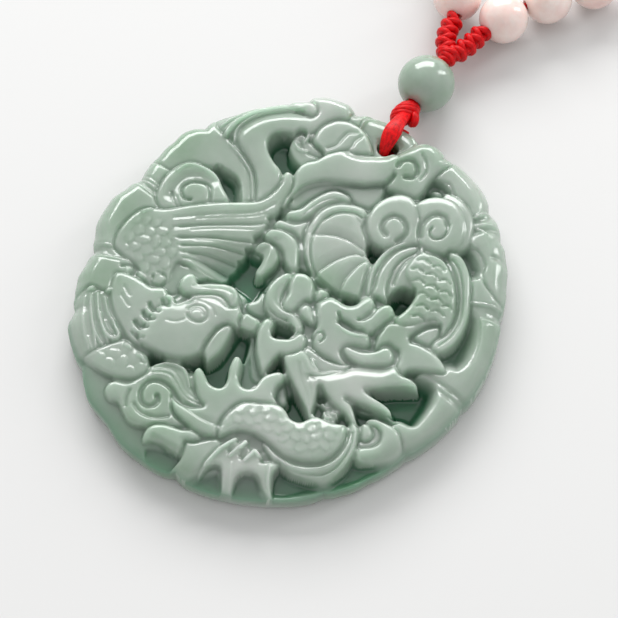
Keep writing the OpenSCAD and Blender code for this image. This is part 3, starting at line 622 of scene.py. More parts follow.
# The phoenix's wing with its feathers
WING = (
    dome("wing", 4.9, 5.9, 4, [
        (-79, 0), (-75, 3), (-69, 6), (-60, 13.7), (-50, 20.7), (-42, 25.7), (-35, 30.3), (-31.5, 36),
        (-30.3, 43), (-31.5, 50), (-27, 50.5), (-23.5, 44), (-23.5, 36), (-23.7, 29), (-25.7, 25.7),
        (-24.5, 23.3), (-24.7, 17.5), (-26.5, 14), (-25.5, 12), (-25.7, 8.5), (-27.5, 6.7), (-26, 5.3),
        (-26.3, 2), (-28, 0.5), (-26.7, -1), (-27, -4.5), (-28.3, -6.3), (-27.5, -8), (-28.3, -11),
        (-35, -14), (-43, -14.5), (-50, -15), (-50, -20), (-48.5, -26), (-53, -31), (-60, -31),
        (-66, -26.5), (-74, -25), (-80, -23), (-82.5, -17), (-82.5, -10), (-81, -4)], (-0.01, 0.012), 0.25),
    dome("wing root", 4.6, 5.1, 5, [
        (-55, -14), (-36, -13.5), (-38, -19), (-41, -27), (-45, -31), (-54, -31)], moat=0),
    bowl("wing fall", 6.2, 3.4, 26, [
        (-58, -6), (-48, 5), (-38, 14), (-27, 22), (-12, 22), (-8, -14), (-28, -26), (-45, -20)]),
    groove("wing edge line", 0.14, 1.6, [(-64, 4.7), (-50, 14.5), (-40, 20.7), (-32, 26.7), (-27.5, 34)]),
    *feather("feather 1", 3.6, (0.26, 0.8), ((-62, 1), (-60, 2)), [
        (-50, 8.7), (-40, 14.5), (-30, 20.7), (-26, 24)]),
    groove("feather vein 1", 0.1, 0.8, [(-55, 9), (-44, 16), (-34, 22.5), (-28, 28)]),
    *feather("feather 2", 3.2, (0.34, 0.9), ((-58, -3), (-57, -2.5)), [
        (-50, 1.6), (-43, 5.4), (-35, 8.7), (-25.5, 13.2)]),
    groove("feather vein 2", 0.1, 0.8, [(-54, 3), (-44, 9.5), (-34, 15), (-26, 19.5)]),
    *feather("feather 3", 2.8, (0.3, 0.8), ((-55, -5.5), (-54, -5.5)), [
        (-46, -0.8), (-38, 2.9), (-26, 6.5)]),
    groove("feather vein 3", 0.1, 0.7, [(-50, -0.5), (-42, 3.5), (-34, 6.2), (-27, 9.3)]),
    *feather("feather 4", 2.4, (0.26, 0.7), ((-52.5, -8), (-52, -8)), [
        (-44, -4.3), (-37, -2), (-26, 0.2)]),
    *feather("feather 5", 2.2, (0.24, 0.7), ((-50, -10.3), (-50, -10.3)), [
        (-43, -7.7), (-36, -6.3), (-26.5, -6)]),
    *feather("feather 6", 2, (0.2, 0.6), ((-49, -12.7), (-49, -12.7)), [
        (-42, -11.3), (-34, -11), (-28, -11.3)]),
    scales("shoulder scales", 0.32, 5, -8, [
        (-79, -5), (-74, 0), (-66, 2), (-60, -1), (-55, -6), (-51, -12), (-50.5, -19), (-53, -27),
        (-60, -28), (-68, -24), (-77, -21), (-80, -14)]),
    groove("knob ring", 0.4, 0.9, [
        (-57.3, -25), (-56, -28.3), (-53, -28.7), (-51, -26.5), (-51.3, -23.5), (-53.5, -22.3),
        (-56.3, -23)]),
    ridge("shoulder knob", 5.2, 6.5, [(-77.7, -1, 1), (-76.3, 0.7, 1.4), (-74.7, 2.3, 0.9)]),
    groove("hook hollow", 0.6, 1.5, [(-72, -28), (-68.3, -25.7), (-64.5, -26.7)]),
    ridge("hook 1", 4.9, 6.1, [(-69, -29, 0.8), (-67.7, -31, 1.3), (-65.5, -33.3, 0.8)]),
    ridge("hook 2", 4.9, 6.1, [(-63, -28.5, 0.7), (-61.3, -29.3, 1.1), (-59, -29.5, 0.7)]),
)

# The phoenix's neck, head and comb, and the low wing and feathers
BIRD = (
    dome("neck", 5.4, 6.1, 9, [
        (-72, -33), (-66, -31), (-60, -31), (-54, -31.5), (-49, -29), (-45, -31), (-41, -35), (-44, -40),
        (-45, -48), (-46, -55), (-42, -59.5), (-50, -58.5), (-57, -55), (-62.5, -51), (-68, -45),
        (-71.3, -39)], moat=0.25),
    groove("neck mark 1", 0.14, 1.2, [(-65, -37), (-60.5, -40)]),
    groove("neck mark 2", 0.14, 1.2, [(-64, -41.5), (-58, -44.7)]),
    dome("head", 5.3, 6.9, 14, [
        (-35, -25.5), (-30, -22.5), (-25, -19), (-19, -17), (-15, -19), (-12, -22), (-9.3, -24), (-9, -30),
        (-14, -31.5), (-16.7, -35.5), (-17.3, -44), (-17, -50), (-21, -55), (-29, -58.5), (-42, -59),
        (-47, -55), (-46.3, -48), (-46, -40), (-41.5, -35), (-37, -33), (-34, -28)], moat=0.25),
    groove("cheek line", 0.2, 0.9, [(-32, -39), (-35, -42), (-38.7, -43)]),
    groove("beak line", 0.35, 1.2, [(-17.7, -35), (-18, -40), (-18, -46), (-16.7, -50)]),
    dome("comb", 5.4, 7, 3.4, [
        (-44.5, -21.5), (-43.5, -18.5), (-41, -16.8), (-38.5, -17.3), (-36, -20), (-33, -18.3),
        (-29, -15.9), (-25, -14), (-20.5, -13.5), (-17, -15.3), (-15, -18.7), (-14.7, -22), (-17, -24),
        (-19, -22.7), (-23, -21), (-27, -21.7), (-31, -24), (-35, -26.7), (-38.5, -28.3), (-42, -27.3),
        (-44, -24.7)], (0.008, 0.004), 0.25),
    groove("comb groove", 0.22, 1.3, [
        (-37, -22), (-32, -20.3), (-27, -18), (-22.5, -16.7), (-19, -17.7), (-17.7, -20.7)]),
    step("crown", 0.22, 2.6, [(-32, -26), (-28, -23.7), (-24, -22.7), (-19, -23.7)]),
    dome("wattle", 4.8, 6.3, 3, [
        (-15.3, -33), (-17, -37.5), (-17.4, -43), (-16.8, -48.7), (-14.3, -51.3), (-12, -52.3), (-10, -48),
        (-9, -42), (-9.4, -36), (-10.7, -31.7), (-13, -31)], moat=0),
    dome("cord block", 4.8, 5.8, 2.2, [(-10.7, -21.7), (-6, -21.3), (-2, -22), (-2, -28.5), (-9.5, -29.5)]),
    groove("eye ring", 0.35, 1, [
        (-33.3, -33.6), (-31.6, -30.4), (-28, -29.3), (-24.7, -31), (-23.9, -34.2), (-26, -37),
        (-29.6, -37.5), (-32.4, -36.2)]),
    dome("eye", 6.4, 6.9, 2.6, [
        (-32, -33.5), (-30.7, -31.1), (-28.2, -30.4), (-25.7, -31.8), (-25, -34.1), (-26.6, -36),
        (-29.5, -36.5), (-31.4, -35.4)]),
    groove("brow", 0.16, 1.2, [(-35.5, -31), (-33, -28.5), (-28.5, -27.2), (-24, -27.8), (-21, -30)]),
    ridge("zigzag 1", 5.9, 6.8, [
        (-45.5, -32.3, 0.6), (-43, -31.9, 0.9), (-41, -34.3, 1), (-38.3, -34, 1), (-36, -31, 0.9),
        (-34, -26.5, 0.6)]),
    ridge("zigzag 2", 5.8, 6.6, [(-43.3, -38.7, 0.5), (-40.3, -37, 0.8), (-38.3, -35, 0.8)]),
    groove("barb 1", 0.55, 1.2, [(-46.5, -34.5), (-44.3, -36.3), (-42, -36.3)]),
    groove("barb 2", 0.8, 1.3, [(-50.5, -39), (-48, -40.7), (-44.3, -40.7)]),
    groove("barb 3", 0.8, 1.3, [(-50.7, -44), (-48, -45.6), (-44.5, -45.2)]),
    groove("barb 4", 0.9, 1.4, [(-51.5, -49.7), (-48.5, -50.9), (-45.2, -50)]),
    groove("barb 5", 0.35, 1.2, [(-50, -55), (-47, -56), (-43.5, -55.3)]),
    ridge("barb lip 1", 5.8, 6.7, [(-50, -42.3, 0.4), (-47, -43.3, 0.8), (-44.3, -42.7, 0.4)]),
    ridge("barb lip 2", 5.8, 6.7, [(-50, -47.3, 0.4), (-47, -48.2, 0.8), (-44.3, -47.5, 0.4)]),
    ridge("barb lip 3", 5.8, 6.6, [(-50, -53, 0.4), (-47, -53.8, 0.8), (-44, -53, 0.4)]),
    dome("low wing", 4.8, 5.6, 5, [
        (-80, -46), (-77, -44.5), (-73, -44.5), (-70, -43.5), (-68, -45.5), (-62.5, -51.3), (-56.5, -55.5),
        (-52, -58.7), (-52, -62), (-54, -66), (-57, -71), (-59, -76), (-64, -77), (-71, -72.5), (-77, -66),
        (-81, -58), (-82, -52)]),
    ridge("low wing knob 1", 5, 6.3, [(-78.7, -47.3, 0.6), (-77.4, -46, 1.3), (-76, -45.3, 0.6)]),
    ridge("low wing knob 2", 5, 6.3, [(-70.6, -44.3, 0.6), (-69.9, -43.3, 1.2), (-69, -42.5, 0.6)]),
    ridge("low wing 1", 5.2, 6.1, [
        (-76, -48.5, 0.5), (-73.3, -53, 0.8), (-69, -58.7, 0.9), (-64, -64.7, 0.8), (-60, -70, 0.5)]),
    ridge("low wing 2", 5.2, 6.2, [
        (-73.7, -46.3, 0.6), (-71.7, -49.5, 0.9), (-68.7, -53.7, 0.8), (-66, -57.5, 0.6)]),
    ridge("low wing 3", 5.2, 5.9, [
        (-78.3, -50.5, 0.5), (-75.7, -56, 0.8), (-71.5, -62.5, 0.9), (-66, -68.7, 0.8), (-60, -74.5, 0.5)]),
    ridge("low wing 4", 5.1, 5.7, [
        (-80, -55, 0.5), (-76.5, -61.5, 0.8), (-71, -68, 0.8), (-66, -72.7, 0.5)]),
    ridge("low wing 5", 5.1, 6, [(-69.3, -47, 0.5), (-65.5, -51.5, 0.8), (-60.5, -55, 0.6)]),
    ridge("hairpin 1", 5.2, 6.5, [
        (-67.3, -54.3, 0.5), (-64.5, -58, 0.8), (-60.5, -61.3, 0.9), (-56.5, -62.7, 0.9), (-54, -61.7, 0.9),
        (-54.3, -59.3, 0.8), (-57.3, -57.3, 0.7), (-60.5, -54.7, 0.5)]),
    ridge("hairpin 2", 5.1, 6.2, [
        (-67.5, -60.3, 0.5), (-64, -63.7, 0.8), (-60, -66.5, 0.8), (-57, -67.5, 0.8), (-55.7, -66.2, 0.7),
        (-58, -64, 0.6), (-62, -61, 0.5)]),
    ridge("hairpin 3", 5.1, 5.9, [(-66, -67, 0.4), (-62.5, -70.3, 0.7), (-59, -72.7, 0.6)]),
    ridge("hairpin 4", 5.2, 6, [(-63.5, -56.7, 0.4), (-60, -59.3, 0.6), (-57, -60.3, 0.4)]),
    dome("low feathers", 4.9, 5.9, 7, [
        (-53.5, -62.5), (-50, -60.3), (-44, -61.3), (-38, -61.7), (-34.7, -64.7), (-33.5, -69), (-36, -74),
        (-41, -77), (-48, -78.7), (-56, -78.3), (-62.5, -76.7), (-60.5, -72), (-57, -67)]),
    scales("low scales", 0.3, 5.4, 75, [
        (-55, -65), (-50, -60.5), (-44, -61.5), (-38, -62), (-35.5, -66), (-38, -71), (-46, -74.5),
        (-54, -76), (-60, -75)]),
    ridge("low tip 1", 5.6, 6.3, [(-49.7, -62.3, 0.6), (-47.7, -61.7, 1.1), (-46, -62.3, 0.6)]),
    ridge("low tip 2", 5.6, 6.3, [(-42.3, -63.3, 0.6), (-40, -63.3, 1.1), (-37.5, -64.5, 0.6)]),
)

# Steps between the petals of the fan: depth, width and points, of which the first five are also cut
PETALS = (
    (0.5, 5.5, [(20.5, 34), (16.5, 34), (11, 34.3), (4, 33), (-3, 29.5)]),
    (0.55, 6, [(21.3, 31), (17.3, 29.3), (13.3, 25.3), (10.3, 20.3), (8.7, 16), (7.7, 12)]),
    (0.5, 5.5, [(24.5, 30.5), (22, 26), (20.7, 21), (20.2, 16), (20.7, 10.5)]))

# The fan of petals in the middle
FAN = (
    dome("fan", 5, 6.3, 6, [
        (12, 51), (8, 51.7), (3, 50.3), (-2, 47.7), (-6, 43.3), (-8, 37), (-8, 31), (-6.7, 25), (-4, 19.7),
        (-0.5, 15), (4, 11.3), (9, 8.7), (14, 7.5), (19, 7.3), (26, 8), (30.5, 10), (29.7, 16), (28, 22),
        (26, 29.5), (22.5, 32.5), (21, 35.5), (18.5, 39), (15, 42.3), (13.5, 46)]),
    groove("fan ring line", 0.5, 1.1, [
        (11, 48), (7, 48.3), (3, 47), (-1, 44), (-3.8, 39), (-4.6, 33), (-4.1, 28), (-1.3, 21.3), (3, 15.5),
        (8, 11.5), (14, 9.7), (22, 9.5), (29, 11)]),
    step("petal 1", 0.3, 4, [(20.5, 38.7), (16, 40.7), (11, 44.7), (5.5, 46.2), (0.5, 43.3), (-2.3, 39)]),
    *(step("petal", depth, width, line) for depth, width, line in PETALS),
    *(groove("petal cut", 0.2, 0.8, line[:5]) for _, _, line in PETALS),
)

# Middles of the short arcs on the upper body
UPPER_ARCS = (
    (47.6, 41.3), (54.9, 41.7), (47, 36), (54, 36.6), (60.8, 37), (50, 31), (57.2, 31.4), (64, 31.8),
    (55, 26), (62, 26.6), (68.2, 26.2), (57.8, 20.8), (65.2, 21.6), (58.7, 15.5), (66, 17.2))
# The dragon's two lengths of body with their belly bands
BODY = (
    dome("upper body", 5.3, 6.7, 5, [
        (43, 44.5), (47, 45.7), (52, 46.3), (57, 45), (63, 40.3), (68, 34), (72, 26.5), (73.6, 19),
        (72, 12), (68, 15), (63, 14), (59, 9.7), (55, 7), (51, 7), (49.7, 10), (51.3, 15), (52, 21),
        (51, 25.5), (46.5, 28), (42, 32), (41.5, 38)], (-0.004, 0.004), 0.4),
    scales("upper scales", 0.2, 4.6, -62, [
        (44, 43), (51, 44.5), (57, 42.5), (62, 38), (67, 32), (70.5, 25), (71.5, 18), (70, 14), (63, 15.5),
        (57, 9.5), (52, 9), (53, 16), (54, 22), (51, 28), (45, 31), (43, 37)]),
    *(groove("upper arc", 0.34, 0.9, [(x - 2.8, y - 0.9), (x - 0.4, y + 0.9), (x + 2.7, y)])
      for x, y in UPPER_ARCS),
    ridge("upper edge line", 5.9, 6.9, [
        (47.5, 43.5, 0.5), (50, 45, 0.8), (54, 45.3, 0.7), (57.5, 43.7, 0.4)]),
    dome("body fall", 4.6, 6.1, 5, [
        (38, 48), (46, 46), (49, 37), (52, 27.5), (50, 24.5), (46, 24), (43, 20), (42, 14.5), (36, 14),
        (33.5, 22), (34, 32), (35, 42)], (0, 0.012), 0),
    ridge("body band 1", 5, 6.3, [
        (40.3, 47.3, 0.8), (35, 44, 1.3), (31.3, 39, 1.5), (29.3, 32.7, 1.5), (29.3, 26, 1.5),
        (31, 19.5, 1.4), (33, 14.5, 1)]),
    dome("body band 2", 5, 6.2, 3, [
        (41, 46.7), (37, 44), (33.3, 38.7), (31.7, 32), (31.7, 25.5), (33.3, 19.5), (34.5, 14.5),
        (38, 14.5), (42.5, 15.5), (40, 20), (38.3, 26), (37.5, 32), (39, 38), (42.5, 43.7)], moat=0.5),
    groove("body band line", 0.5, 1.2, [(43.3, 44.5), (39.6, 38.5), (39, 31), (40, 25)]),
    dome("temple piece", 5, 6, 3, [
        (61.7, 5), (62.7, 9.3), (65.5, 13.3), (69.5, 16), (71.3, 12.3), (71, 8), (68.7, 4.7)], moat=0.5),
    dome("upper belly", 5.2, 6.4, 2.2, [
        (54.5, 50.3), (57.5, 52.3), (61.5, 52), (66, 49), (70.5, 43.7), (74.7, 36), (78.3, 27.5), (80, 19),
        (79.3, 11), (76.3, 5), (71.5, 4.3), (70.5, 8), (73.7, 14), (74.3, 21), (72, 29), (67.3, 37),
        (62, 43.3), (57.7, 46.7)], moat=0.5),
    groove("upper belly line", 0.55, 0.9, [
        (57.5, 49), (62.5, 46.5), (67.7, 40), (72.3, 31.7), (75.3, 23.3), (75.5, 15), (72.7, 7.7)]),
    dome("lower body", 5.2, 6.7, 5, [
        (8.7, -66), (10, -62), (13, -59.3), (17, -57.3), (22, -54.7), (27, -53.5), (31, -54.7), (34, -56.7),
        (38, -56.3), (40.7, -52.7), (43.5, -50), (50, -49.5), (56, -47.5), (58.7, -50.5), (59.8, -55),
        (59.7, -60), (58.3, -64.7), (55, -69), (50, -72), (45, -73.5), (40, -74), (35, -73), (29, -72),
        (24, -71.7), (18, -73.3), (14.5, -76), (11.5, -79.7), (9, -79.5), (7.7, -75),
        (7.5, -70)], moat=0.4),
    scales("lower scales", 0.3, 4.6, -58, [
        (9.5, -66), (13, -61), (19, -58), (27, -55.5), (34, -58.5), (40, -56), (44, -51.5), (51, -51.5),
        (56.5, -51), (58, -57), (57, -63.5), (52.5, -68.7), (45, -71.5), (36, -71), (27, -70), (18, -71.7),
        (12, -77), (9.5, -76), (9, -71)]),
    ridge("rough bit 1", 4.8, 6.3, [(41, -50.7, 0.8), (43.5, -52.5, 1.2), (42, -54.5, 0.7)]),
    ridge("rough bit 2", 4.4, 6, [(45, -47, 0.6), (47, -48.7, 0.9), (49.5, -48, 0.6)]),
    ridge("rough bit 3", 4.4, 5.9, [(47.7, -46, 0.6), (50, -45.3, 0.8), (51.7, -46.7, 0.5)]),
    ridge("rough bit 4", 4.8, 6.2, [(52.5, -51, 0.7), (54.5, -49.5, 1), (56.5, -48, 0.6)]),
    ridge("rough bit 5", 4.4, 5.6, [(42, -43.5, 0.5), (44.3, -44.7, 0.8), (46, -43.7, 0.5)]),
    dome("lower belly", 5, 6.2, 2.2, [
        (57.5, -45), (59.5, -43.7), (62.3, -46), (64.7, -51), (66.3, -57), (66.3, -64), (64.3, -70.3),
        (61.3, -75), (55, -77.7), (48, -79.3), (42, -79), (36, -77.7), (29.5, -74), (29.3, -72.3),
        (37, -74.5), (44, -75), (51, -73), (57, -68.5), (60, -63), (60.7, -55), (59.3, -49)], moat=0.5),
    groove("lower belly line", 0.5, 0.9, [
        (60.3, -48), (62.6, -54), (63, -61), (61.3, -67.5), (57.7, -72.3), (52, -75.3), (45, -76.9),
        (38, -76.3)]),
)

# Flames and claws at the bottom
FLAMES = (
    dome("flame 3", 4.8, 5.9, 4, [
        (-1.5, -88.7), (2, -87.7), (5, -85), (8, -82.3), (11, -81), (14, -83), (14.5, -90), (12, -97),
        (8, -103), (2, -106), (-1, -104), (0.5, -97), (-0.5, -92)]),
    dome("flame 2", 4.9, 6.3, 4.5, [
        (-18.3, -98), (-19.5, -94), (-18, -90), (-14.3, -87.3), (-10, -86), (-5, -85), (-2, -83.3),
        (2, -83), (4.5, -85), (2, -88), (-1, -89.5), (-0.3, -93), (-0.7, -95.7), (-5, -96), (-10, -95.7),
        (-14, -96.3)]),
    groove("flame 2 crease", 0.3, 2.2, [(-15, -93.5), (-8, -93.7), (-2, -93)]),
    dome("flame 1", 5.1, 6.5, 3.6, [
        (-3.7, -44), (-2, -42), (0.3, -42.7), (2, -46), (4, -51), (7, -53.7), (10, -53.5), (11.7, -51.3),
        (12.2, -46), (14.7, -42), (18, -39.3), (20.7, -39.7), (22, -43), (21.3, -47), (22.3, -51),
        (25, -53.5), (20, -57), (13, -60), (9.7, -63.7), (8, -69), (7.7, -75), (9.5, -80), (5, -83),
        (-1, -83.3), (-4.5, -82.3), (-8, -81.5), (-12, -80), (-15.3, -77.3), (-18, -73.3), (-15, -74.7),
        (-11, -75), (-6, -73.5), (-3, -71), (-5, -70), (-8, -68), (-11, -65), (-13.5, -61.7),
        (-15.5, -58.3), (-14.7, -55.7), (-12.5, -55.5), (-9.5, -57.3), (-6, -59.7), (-3, -60),
        (-0.7, -58.7), (-1, -54.5), (-3, -49.5)], moat=0.5),
    step("flame fold", 0.3, 4, [(8, -75), (3, -76.2), (-3, -76.3), (-9, -75.5)]),
    dome("tip side", 3.6, 4.8, 4, [
        (20.5, -40.5), (23, -42.5), (26, -46.7), (29, -51), (28, -54), (24.5, -53.7), (22, -50.5),
        (21, -46)], moat=0),
    dome("claws", 4.9, 6, 2.6, [
        (11, -97), (11.5, -91), (13, -85.5), (15, -80.5), (17.8, -76.5), (18.5, -79), (18.3, -84),
        (20, -82), (20.7, -78), (22.7, -75.5), (23.5, -78), (23.5, -83), (25.3, -83.5), (26.3, -79),
        (28, -77.3), (31.7, -78.5), (33, -81), (36, -79), (40.5, -78.3), (40.5, -83), (42.3, -88),
        (45.5, -93.7), (40, -91.5), (34, -87.5), (29, -88.5), (27, -93), (29, -103), (26, -104),
        (22, -97.5), (19.5, -93.5), (17, -92), (14, -94.5), (12, -100)], moat=0.4),
    ridge("claw 1", 5.4, 6.7, [(11.7, -94, 0.6), (12.7, -89, 0.9), (14.5, -83, 1.2), (17.7, -77, 0.7)]),
    ridge("claw 2", 5.4, 6.7, [(19, -85.3, 0.6), (20.5, -81, 1.2), (22.3, -76, 0.8)]),
    ridge("claw 3", 5.4, 6.7, [(25.7, -84, 0.6), (27, -80.5, 1.3), (28, -78, 1.2), (31.3, -79, 0.6)]),
    ridge("claw 4", 5.2, 6.4, [(36.5, -79.7, 0.6), (38, -83, 1.1), (40.5, -88, 1), (44.5, -93, 0.5)]),
    ridge("claw 5", 5, 6.2, [(22, -88, 0.8), (24.5, -94, 1.1), (28, -102, 0.8)]),
)

# The dragon's head, mane and beard
HEAD = (
    dome("mane and beard", 5.1, 6.6, 3.6, [
        (21, -25.5), (25, -26.3), (30, -29.5), (34, -30.5), (37, -28), (42, -25), (45, -21.5), (50, -19),
        (56, -16.3), (59.3, -13), (60.7, -10), (63, -11), (65.7, -13.7), (71, -13.3), (75.5, -15),
        (74, -16.7), (69.3, -19.3), (64.3, -22.7), (59.5, -26), (56.5, -28), (56, -28.7), (60, -29.3),
        (66, -29.7), (71, -31), (68.5, -32.7), (62.7, -34.3), (56, -35.5), (51, -36), (50.5, -36.7),
        (54, -37.5), (57.3, -40.3), (60.7, -44.7), (57, -44.5), (52, -42.5), (46, -41.3), (41, -39),
        (37.5, -36.7), (37, -37.7), (38.3, -41), (39.7, -45.5), (40.3, -51.7), (36.5, -49.3), (31, -45.7),
        (26, -42.3), (21, -38.7), (17, -34.5), (15.7, -31.5), (18.7, -28.7)], (-0.008, 0.012)),
    groove("beard line 1", 0.14, 1.6, [(23, -31), (28, -37), (34, -42.5), (38, -47)]),
    groove("beard line 2", 0.12, 1.4, [(30, -35.5), (34, -39.5), (37.7, -43.5)]),
    step("mane edge", 0.5, 5, [
        (30.5, -33), (34.5, -31), (38, -28), (41.7, -24.7), (45.3, -20.9), (50.5, -18.2), (55.9, -15.7),
        (58.7, -12.5), (60, -9)]),
    ridge("beard curl 1", 6, 6.7, [(22.3, -25.3, 0.6), (21.7, -28, 0.8), (19, -31, 0.6)]),
    ridge("beard curl 2", 6, 6.7, [(27.5, -26.5, 0.5), (29.5, -28.5, 0.7), (32.5, -30, 0.5)]),
    groove("beard line 3", 0.12, 1.2, [(24, -29), (28.5, -32.5), (33, -34)]),
    dome("mane 1", 5.1, 6.3, 3.2, [
        (55, 0.5), (58.5, 1.5), (64, 3.3), (70, 3.7), (76, 2.7), (80.5, 0.3), (82, -2.5), (78, -5),
        (72, -8), (68, -10.5), (65.7, -13.5), (62, -12), (61, -8), (59.5, -4.7), (56.5, -3)], moat=0.4),
    dome("temple", 5.1, 6.3, 3, [
        (47, -2), (47, 2.5), (48.3, 6.3), (52, 8), (57, 9.7), (60, 13.3), (64, 16.7), (68, 18.7),
        (68.3, 16.5), (64, 12.5), (61.5, 8), (60.5, 4), (64, 1), (64, -3), (60, -4), (57, -4), (54, -3.5),
        (51, -6), (49, -8.5)], moat=0),
    dome("horn", 5.2, 6.5, 3.2, [
        (37.5, -12.7), (41, -13.3), (46, -12), (50, -9), (52, -6), (54.5, -4.7), (58, -6.3), (59.7, -10),
        (58, -13.3), (54, -16), (48, -18.5), (42, -18.7), (37, -16.7), (34.5, -14)], moat=0),
    dome("forehead", 5.3, 6.6, 4, [
        (15, -1.7), (17, 1.7), (19, 4.7), (23, 5), (27.5, 4.7), (30.5, 6.7), (31.5, 10), (33.3, 13.3),
        (36.5, 13), (39, 10.5), (39, 5), (37.5, 2), (39, 6), (41, 11.3), (44.5, 14.3), (48.3, 12.3),
        (48.7, 8.5), (47, 4), (45.7, 0), (44, -4.7), (40, -3.5), (36, -4), (31, -3.5), (28.7, -5),
        (32, -6.7), (36, -7), (41, -5.5), (44, -3.7), (46, -7), (44.7, -10.3), (41, -11.7), (38, -14),
        (37, -17), (39, -19.5), (42, -21), (40, -22.5), (33, -23.3), (27, -22.7), (23.5, -19.7),
        (21, -15.3), (21, -12), (18, -7)], (-0.006, 0.01), 0.5),
    groove("finger line", 0.7, 1.1, [(39.2, 11), (39.3, 6), (37.5, 2.3), (35.3, 0.7)]),
    step("forehead edge", 0.38, 3.6, [
        (14.5, -3), (16, 1.7), (18.7, 5), (23, 5.4), (27.3, 5.2), (29.9, 7), (31, 10), (33, 13.7)]),
    groove("brow line 1", 0.7, 1.3, [
        (26.5, -1), (29.7, -3.7), (34, -5.3), (40, -4.4), (45, -1.5), (46.7, 2.5)]),
    ridge("brow line 2", 5.8, 6.9, [(29, -6.3, 0.5), (33, -7.3, 0.9), (38, -6.7, 0.9), (43.5, -4.3, 0.5)]),
    groove("brow slit", 1.2, 1.8, [(24, -21.8), (31, -23.8), (37, -24.5), (42, -22.5)]),
    dome("under the brow", 4.9, 6, 4, [
        (20, -22.5), (27, -22.7), (33, -23.5), (40, -22.3), (44, -20), (43.5, -25), (39, -29), (34, -32),
        (28, -31.5), (22, -28.5), (19.5, -26)], moat=0),
    dome("brow lobe", 5.4, 6.2, 2, [
        (37.3, -8.3), (41, -6.7), (44.3, -5.3), (46.3, -7.7), (44.3, -10.5), (40.5, -11)], moat=0),
    groove("nostril", 0.5, 1, [(22.3, -17.7), (22.7, -14.3), (24.7, -13), (26.7, -14.7), (26, -17.3)]),
    dome("lip", 5, 6.3, 3, [
        (-2.7, 6.3), (-5.7, 2.3), (-7.6, -2), (-7.9, -6), (-6.5, -10), (-3.3, -13), (2, -15), (6, -14.7),
        (10, -15), (12.7, -17.3), (13.3, -21), (12.3, -24.3), (15.3, -23), (17, -19), (16.3, -15),
        (13, -12), (8, -11), (2, -10), (0, -4), (-0.5, 3)], moat=0.4),
    ridge("lip edge", 6.05, 6.5, [
        (-4, 4.7, 1.2), (-5.4, 1, 2), (-6.2, -4, 2.3), (-5.3, -8, 2.5), (-2.5, -11, 2.5), (2.5, -13, 2.3),
        (7.5, -12.5, 2.1), (11, -14, 2.1), (14, -16.5, 2.1), (14.7, -19.7, 1.8), (13.3, -23, 1.2)]),
    ridge("second lip", 4.8, 6.1, [
        (-6, -11, 0.5), (-3.3, -15, 0.9), (1.5, -17.5, 1.1), (7, -17.5, 1.1), (12, -16.7, 0.7)]),
    bowl("mouth", 5, 3, 2, [
        (3.5, -19.7), (8, -18.3), (13, -18), (14, -20.7), (11, -24), (7, -26), (4.5, -24)]),
    dome("jaw", 5.1, 6.3, 3, [
        (-1.7, -22), (-1, -19.3), (1.7, -18.7), (4, -20), (5, -24), (7.3, -25.7), (11, -24.3), (14, -22.3),
        (15.7, -18.5), (18.5, -18), (21, -20.3), (21.7, -24.5), (20, -28), (17, -31), (14, -32.5),
        (13, -36), (12.5, -40), (11.3, -43.7), (8.3, -41.7), (4, -37), (0.3, -31), (-1.3, -26)], moat=0.5),
    dome("nose", 5.5, 6.8, 5, [
        (-1.3, 4), (-0.7, 7), (3, 9), (7, 8.5), (10, 6), (12, 2.3), (12.7, -1.3), (10.3, -3.7), (9.2, -8),
        (7.7, -11.7), (3.5, -11.7), (1.5, -8.5), (1.2, -4), (-0.5, 0)], moat=0.15),
    dome("nostril ball", 5.2, 6.6, 3.2, [
        (9.7, -7.3), (11, -5), (13.5, -4.2), (17, -7.5), (20, -11), (18.3, -12.5), (13, -11.7), (10, -10)]),
    dome("nose knob", 5, 6.3, 2.6, [
        (12.3, 2.3), (12.3, 5.3), (15, 6.3), (18, 5.7), (17.3, 2), (15.3, -0.7), (13.3, -0.7)]),
)

# All forms in the order of carving
FIGURES = GROUND + PITS + RIBBONS + CLOUDS + WING + BIRD + FAN + BODY + FLAMES + HEAD


def mesh_object(name: str, points: Array, faces: Array | list) -> Piece:
    """Makes an object from points in metres and faces, with smooth shading.

    Args:
        name: The piece's name.
        points: One row of x, y, z for each point.
        faces: Rows of point numbers.

    Returns:
        The object, in the scene.
    """
    mesh = bpy.data.meshes.new(name)
    mesh.from_pydata(np.asarray(points).tolist(), [],
                     faces.tolist() if isinstance(faces, Array) else faces)
    mesh.validate()
    mesh.polygons.foreach_set("use_smooth", [True] * len(mesh.polygons))
    mesh.update()
    piece = bpy.data.objects.new(name, mesh)
    bpy.context.scene.collection.objects.link(piece)
    return piece


def apply_modifiers(piece: Piece) -> None:
    """Puts the result of a piece's modifiers into its own mesh.

    Args:
        piece: The piece.
    """
    graph = bpy.context.evaluated_depsgraph_get()
    result = bpy.data.meshes.new_from_object(piece.evaluated_get(graph))
    piece.modifiers.clear()
    old = piece.data
    piece.data = result
    bpy.data.meshes.remove(old)


def read_points(mesh: bpy.types.Mesh, name: str) -> Array:
    """Reads three numbers for each point of a mesh."""
    values = np.empty(len(mesh.vertices) * 3)
    mesh.vertices.foreach_get(name, values)
    return values.reshape(-1, 3)


def write_attribute(mesh: bpy.types.Mesh, name: str, values: Array) -> None:
    """Writes one number for each point of a mesh."""
    layer = mesh.attributes.new(name, "FLOAT", "POINT")
    layer.data.foreach_set("value", np.asarray(values, np.float32))


